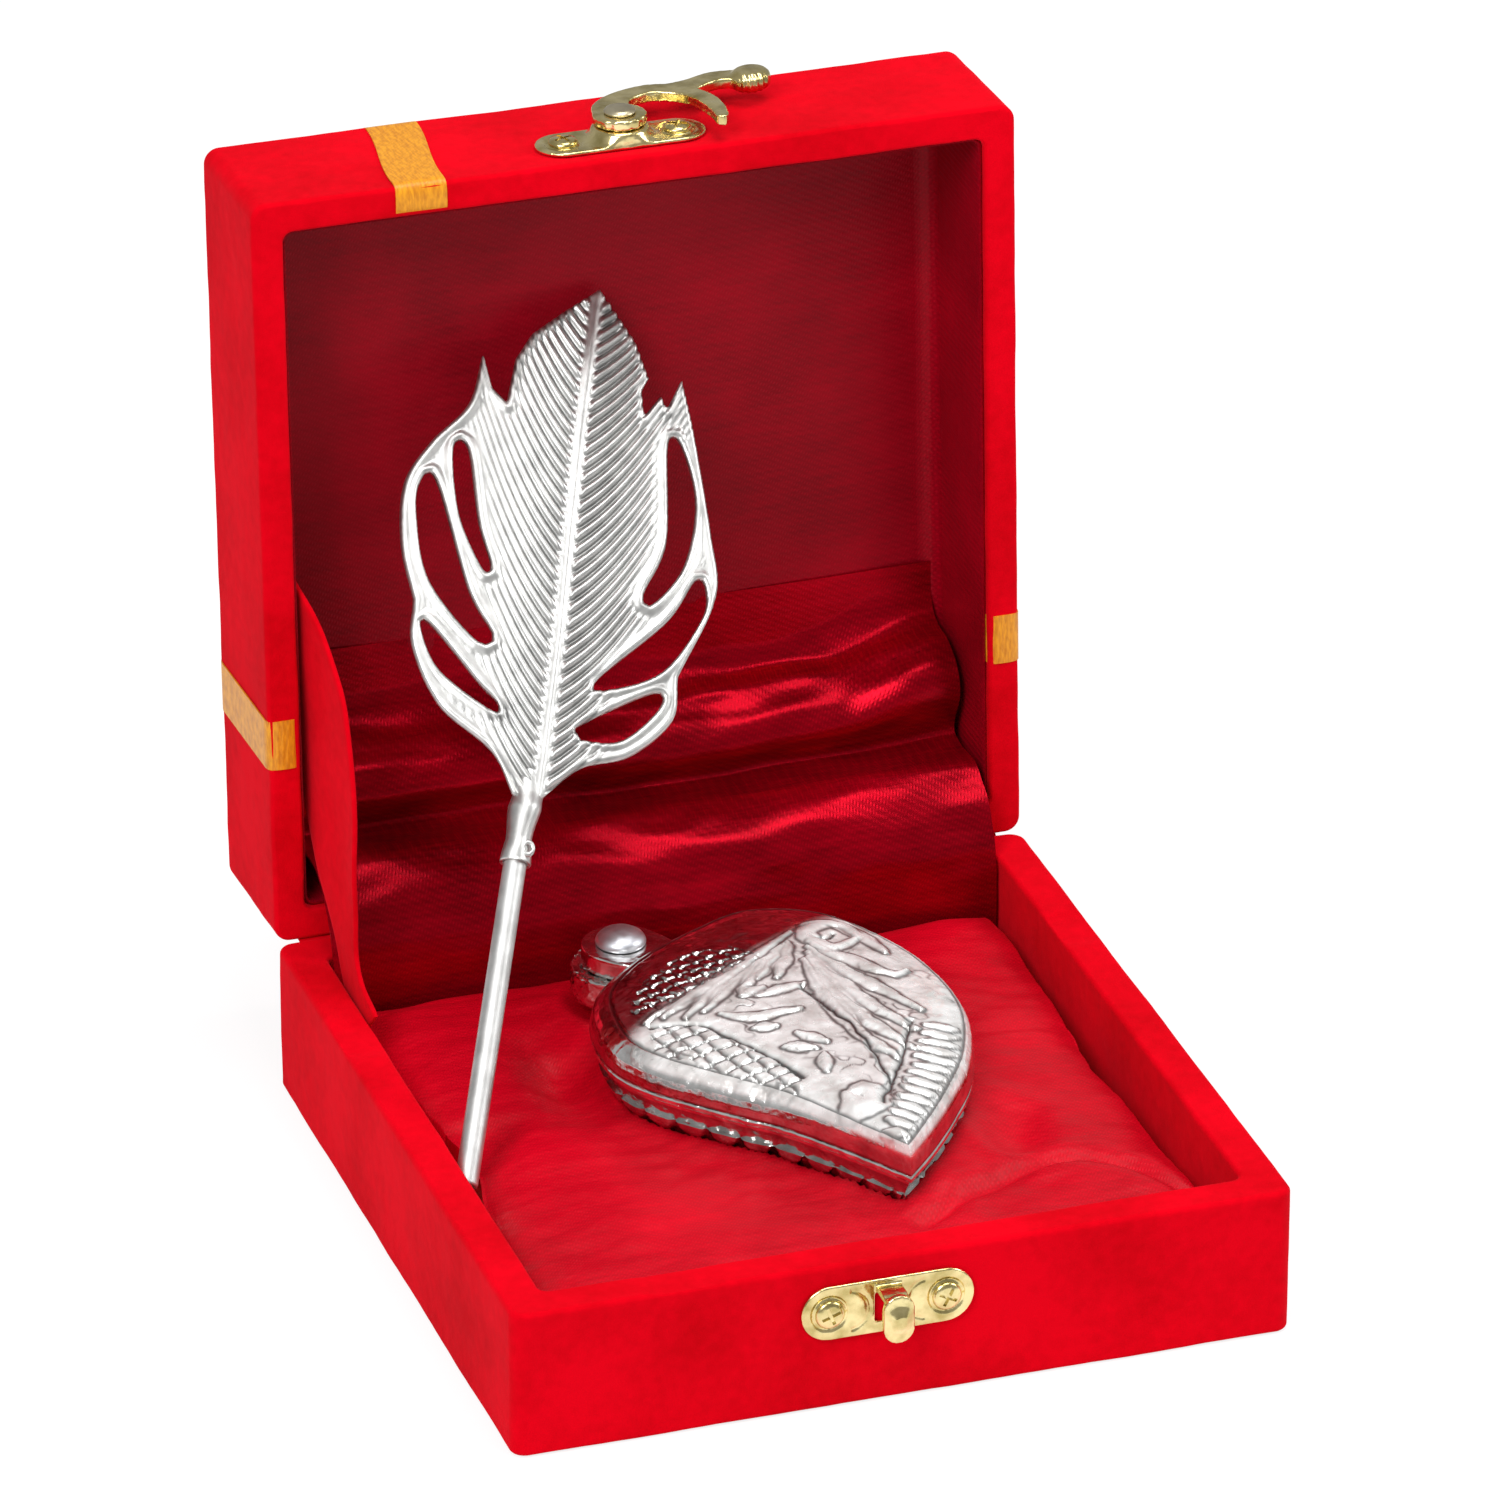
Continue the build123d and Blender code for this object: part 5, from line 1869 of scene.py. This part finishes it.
@dataclass
class Applicator:
    """The stick: an embossed, pierced leaf with a crimped socket on a straight rod."""

    foot: tuple[float, float, float] = (-55.06, -11.94, 18.8)
    tip: tuple[float, float, float] = (0.62, 90.65, 119.9)
    side: tuple[float, float, float] = (0.932, -0.235, -0.275)
    sheet: float = 0.9
    vein_pitch: float = 2.5
    socket: tuple[float, float] = (54.5, 67.0)

    def stand(self, points: np.ndarray) -> np.ndarray:
        """Lean flat leaf points into the case.

        Args:
            points: across, along from the foot, and out of the leaf's face.

        Returns:
            The placed points.
        """
        foot = np.array(self.foot)
        along = np.array(self.tip) - foot
        along /= np.linalg.norm(along)
        face = np.cross(self.side, along)
        face /= np.linalg.norm(face)
        across = np.cross(along, face)
        return foot + points @ np.array([across, along, face])

    @staticmethod
    def outline() -> np.ndarray:
        """The leaf's outer loop."""
        left = [(-17.7, 138.7), (-18.7, 129.6), (-23.8, 121.8)]
        left += [(-26.9, 113.9), (-25.9, 103.5), (-22.6, 94.6)]
        low_left = [(-22.6, 94.6), (-21.7, 86.9), (-15.9, 77.8), (-6.7, 72.0), (-2.2, 65.5)]
        low_right = [(2.2, 65.5), (7.9, 72.3), (15.7, 76.4), (21.7, 84.0), (21.5, 91.4)]
        right = [(21.5, 91.4), (25.8, 106.5), (23.6, 116.7), (18.7, 132.0), (14.9, 141.8)]
        crown_right = [(13.2, 135.9), (11.9, 138.1), (9.6, 133.8)]
        crown_right += [(8.7, 138.2), (9.5, 140.5), (6.5, 146.3)]
        crown_left = [(-6.0, 148.5), (-10.4, 143.6), (-12.4, 138.7), (-12.7, 130.9), (-15.4, 133.1)]
        lower = [Line.through(low_left, 36)[1:], Line.through(low_right, 34), Line.through(right, 52)[1:]]
        return np.vstack([[(-0.4, 154.3)], crown_left, Line.through(left, 50), *lower, crown_right])

    @staticmethod
    def slots() -> list[np.ndarray]:
        """The three curved slots down each side."""
        left_top = [(-20.0, 121.6), (-17.7, 122.0), (-14.3, 109.9)]
        left_top += [(-11.3, 103.0), (-12.5, 102.0), (-17.5, 110.4)]
        left_mid = [(-24.3, 115.0), (-22.0, 115.6), (-14.4, 98.3), (-9.2, 91.2)]
        left_mid += [(-12.0, 90.0), (-20.8, 98.5), (-24.3, 109.6)]
        left_low = [(-20.8, 90.2), (-19.4, 91.0), (-10.5, 83.0), (-6.9, 80.2), (-7.5, 78.7), (-16.8, 83.7)]
        right_top = [(14.3, 130.1), (16.4, 130.7), (20.2, 121.7), (19.8, 110.4)]
        right_top += [(15.6, 102.6), (13.9, 103.8), (16.4, 113.6)]
        right_mid = [(22.1, 108.5), (23.9, 107.4), (24.0, 102.2), (18.7, 91.6)]
        right_mid += [(9.7, 86.2), (8.6, 87.8), (18.3, 100.0)]
        right_low = [(6.5, 78.2), (7.1, 79.7), (18.0, 87.8), (19.2, 85.5), (14.0, 78.7), (8.0, 77.2)]
        slots = (left_top, left_mid, left_low, right_top, right_mid, right_low)
        return [Line.through(points, 48, closed=True) for points in slots]

    def head(self, silver: bpy.types.Material) -> None:
        """The stamped leaf, melted from its blank and embossed."""
        obj = Bench.plate("leaf_head", self.outline(), self.sheet, 0.0)
        for number, loop in enumerate(self.slots()):
            tool = Bench.plate(f"slot_{number}", loop, 6.0, 0.0)
            Bench.write(tool, Bench.read(tool) - (0.0, 0.0, 3.0))
            Bench.cut(obj, tool)
        Bench.write(obj, Bench.read(obj) - (0.0, 0.0, self.sheet / 2))
        Bench.fuse(obj, 0.25, 2)
        points = Bench.read(obj)
        relief, wave = self.emboss(points)
        # Painted shade in the vein valleys; no painted reflection on the leaf.
        Container.paint(obj, frost=np.zeros(len(points)), recess=0.66 * (0.5 - 0.5 * wave) ** 1.5)
        points[:, 2] += relief
        Bench.write(obj, points)
        obj = Bench.join("leaf_head", [obj, self.tube(), self.eyelet()])
        Bench.write(obj, self.stand(Bench.read(obj)))
        Bench.smooth(obj, 85)
        Bench.hand_over(obj, silver, Slot.SILVER, Body.APPLICATOR, ["applicator_head"])

    def emboss(self, points: np.ndarray) -> tuple[np.ndarray, np.ndarray]:
        """Height of the midrib, veins and curl at points of the flat leaf.

        Args:
            points: the blank's points.

        Returns:
            The heights, and the veins from -1 in their valleys to 1 on their crests.
        """
        x, y, z = points.T
        rib = np.interp(y, (60.0, 73.1, 94.9, 112.4, 131.9, 150.0), (1.8, 1.8, 1.3, 0.4, -0.4, -0.7))
        away = np.abs(x - rib)
        start = y - 0.75 * away - 0.05 * away**2
        inner = 1 - step(away, 11.0, 17.0)
        fine = 1 - 2 * (0.5 - 0.5 * np.cos(math.tau * start / self.vein_pitch)) ** 1.8
        crowding = np.sqrt(1 + (0.75 + 0.1 * away) ** 2)
        veins = (0.52 * inner + 0.36 * (1 - inner)) / crowding * fine * step(away, 0.8, 1.8)
        gap, border = np.full(len(points), np.inf), np.zeros(len(points))
        for loop, width in ((self.outline(), 0.8), *((slot, 0.7) for slot in self.slots())):
            rim = Line.away(points[:, :2], np.vstack([loop, loop[:1]]))
            border = np.maximum(border, 0.34 * bell(rim - 0.7, width))
            gap = np.minimum(gap, rim)
        framed = step(away, 7.0, 12.0) * (1 - step(y, 128, 136)) * (1 - step(gap, 1.6, 3.2))
        veins = veins * (1 - framed)
        face = step(z, -0.1, 0.3)
        midrib = 0.6 * bell(away, 0.75) * (1 - 0.5 * step(y, 80, 150)) * face
        fold = -0.5 * np.exp(-away / 5.0)
        curl = 0.0024 * x * x + 0.9 * step(y, 138, 154) + 0.25 * np.sin(y / 9.0) * step(away, 6, 20)
        border = border * step(away, 2.0, 5.0)
        height = veins * (1 - border / 0.4) + border * face + midrib + fold - curl + 0.8
        return height, 1 - (1 - fine) * step(away, 0.8, 1.6) * (1 - framed)

    def tube(self) -> bpy.types.Object:
        """The rolled and crimped socket under the leaf."""
        low, high = self.socket
        places = [0.0, 0.06, 0.1, 0.35, 0.7, 0.9, 1.0]
        radii = [1.92, 1.95, 2.45, 2.2, 2.5, 2.2, 1.2]

        def place(u: np.ndarray, v: np.ndarray) -> np.ndarray:
            """Lay grid points on the socket."""
            y = np.interp(v, [0.0, 0.06, 0.1, 0.9, 1.0], [low + 3.0, low, low, high, high + 3.5])
            radius = np.interp(v, places, radii)
            turn = u * math.tau
            radius += (0.05 * np.sin(y * 0.9 + 1.0) + 0.12 * np.sin(turn * 2 + y * 0.5)) * (v > 0.1)
            x = radius * np.cos(turn) * (1 + 0.25 * step(v, 0.8, 1.0)) + 0.6 * step(y, 60, 70)
            return np.column_stack([x, y, radius * np.sin(turn) * (1 - 0.35 * step(v, 0.7, 1.0))])

        return Bench.grid("socket", 48, 60, place, weld=True)

    def eyelet(self) -> bpy.types.Object:
        """The small ring pinched out of the socket's side."""
        Bench.fresh()
        bpy.ops.mesh.primitive_torus_add(
            major_segments=32, minor_segments=12, major_radius=0.8 * MM, minor_radius=0.38 * MM
        )
        ring = bpy.context.object
        points = Bench.read(ring)
        Bench.write(ring, points * (1.0, 1.25, 0.9) + (1.3, 56.8, 1.95))
        return ring

    def build(self) -> None:
        """Make and dress the applicator."""
        grey, white = (0.44, 0.44, 0.43), (0.62, 0.62, 0.605)
        leaf = Metal("leaf_silver", grey, white, 0.33, 0.46, 0.06, 0.02, 2.4, True).make()
        dull, pale = (0.50, 0.50, 0.49), (0.66, 0.66, 0.65)
        rod = Metal("rod_silver", dull, pale, 0.42, 0.52, 0.03, 0.02, 2.0).make()
        self.head(leaf)
        stem = frame["nodes"]["applicator_stem"]
        Bench.dress(stem, rod)


@dataclass
class Studio:
    """Camera, white floor and soft lights."""

    lens: float = 288.0
    eye: tuple[float, float, float] = (-533.03, -1575.06, 932.73)
    right: tuple[float, float, float] = (0.9486, -0.3165, 0.0032)
    up: tuple[float, float, float] = (0.1417, 0.4334, 0.89)
    back: tuple[float, float, float] = (-0.2831, -0.8438, 0.456)

    def camera(self) -> None:
        """Set up the camera of the photograph."""
        data = bpy.data.cameras.new("camera")
        data.lens, data.sensor_width, data.clip_end = self.lens, 36.0, 100.0
        camera = bpy.data.objects.new("camera", data)
        bpy.context.scene.collection.objects.link(camera)
        turn = Matrix([self.right, self.up, self.back]).transposed().to_4x4()
        camera.matrix_world = Matrix.Translation(Vector(self.eye) * MM) @ turn
        bpy.context.scene.camera = camera

    def floor(self) -> None:
        """A wide white floor that glows slightly to the camera and keeps soft shadows."""
        Bench.fresh()
        bpy.ops.mesh.primitive_plane_add(size=40.0, location=(0, 0, -0.0002))
        plane = bpy.context.object
        plane.name = "floor"
        material = bpy.data.materials.new("white_floor")
        material.use_nodes = True
        nodes, links = material.node_tree.nodes, material.node_tree.links
        paint = nodes["Principled BSDF"]
        paint.inputs["Base Color"].default_value = (0.82, 0.82, 0.82, 1.0)
        paint.inputs["Roughness"].default_value = 0.9
        paint.inputs["Specular IOR Level"].default_value = 0.0
        glow = nodes.new("ShaderNodeEmission")
        glow.inputs["Color"].default_value = (1.0, 1.0, 1.0, 1.0)
        glow.inputs["Strength"].default_value = 1.12
        mix = nodes.new("ShaderNodeMixShader")
        path = nodes.new("ShaderNodeLightPath")
        share = nodes.new("ShaderNodeMath")
        share.operation = "MULTIPLY"
        share.inputs[1].default_value = 0.72
        links.new(path.outputs["Is Camera Ray"], share.inputs[0])
        links.new(share.outputs[0], mix.inputs["Fac"])
        links.new(paint.outputs[0], mix.inputs[1])
        links.new(glow.outputs[0], mix.inputs[2])
        links.new(mix.outputs[0], nodes["Material Output"].inputs["Surface"])
        plane.data.materials.append(material)

    def world(self) -> None:
        """White surroundings: full to the camera, dimmer as light and in reflections."""
        world = bpy.data.worlds.new("studio")
        bpy.context.scene.world = world
        world.use_nodes = True
        nodes, links = world.node_tree.nodes, world.node_tree.links
        background = nodes["Background"]
        background.inputs["Color"].default_value = (1.0, 1.0, 1.0, 1.0)
        path = nodes.new("ShaderNodeLightPath")
        strength = nodes.new("ShaderNodeMapRange")
        strength.inputs["To Min"].default_value = 0.37
        strength.inputs["To Max"].default_value = 1.0
        links.new(path.outputs["Is Camera Ray"], strength.inputs["Value"])
        links.new(strength.outputs[0], background.inputs["Strength"])

    def lamp(
        self, name: str, place: tuple[float, float, float], size: tuple[float, float], power: float
    ) -> None:
        """A soft box that points at the case.

        Args:
            name: its name.
            place: where it stands, in metres.
            size: its width and height in metres.
            power: in watts.
        """
        data = bpy.data.lights.new(name, "AREA")
        data.shape, data.energy = "RECTANGLE", power
        data.size, data.size_y = size
        lamp = bpy.data.objects.new(name, data)
        bpy.context.scene.collection.objects.link(lamp)
        lamp.location = place
        toward = Vector((0, 0, 0.06)) - Vector(place)
        lamp.rotation_euler = toward.to_track_quat("-Z", "Y").to_euler()

    def build(self) -> None:
        """Set up the studio."""
        scene = bpy.context.scene
        scene.view_settings.view_transform = "Standard"
        self.camera()
        self.floor()
        self.world()
        self.lamp("key", (-0.75, -0.7, 1.05), (0.6, 0.6), 13.0)
        self.lamp("right", (1.0, -0.25, 0.75), (0.5, 0.5), 5.0)
        self.lamp("top", (0.15, -0.05, 1.25), (0.7, 0.6), 8.0)


def main() -> None:
    """Build the set in order."""
    logging.basicConfig(level=logging.INFO, format="%(message)s")
    VelvetCase().build()
    Latch().build()
    Container().build()
    Applicator().build()
    Studio().build()
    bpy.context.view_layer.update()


if __name__ == "__main__":
    main()
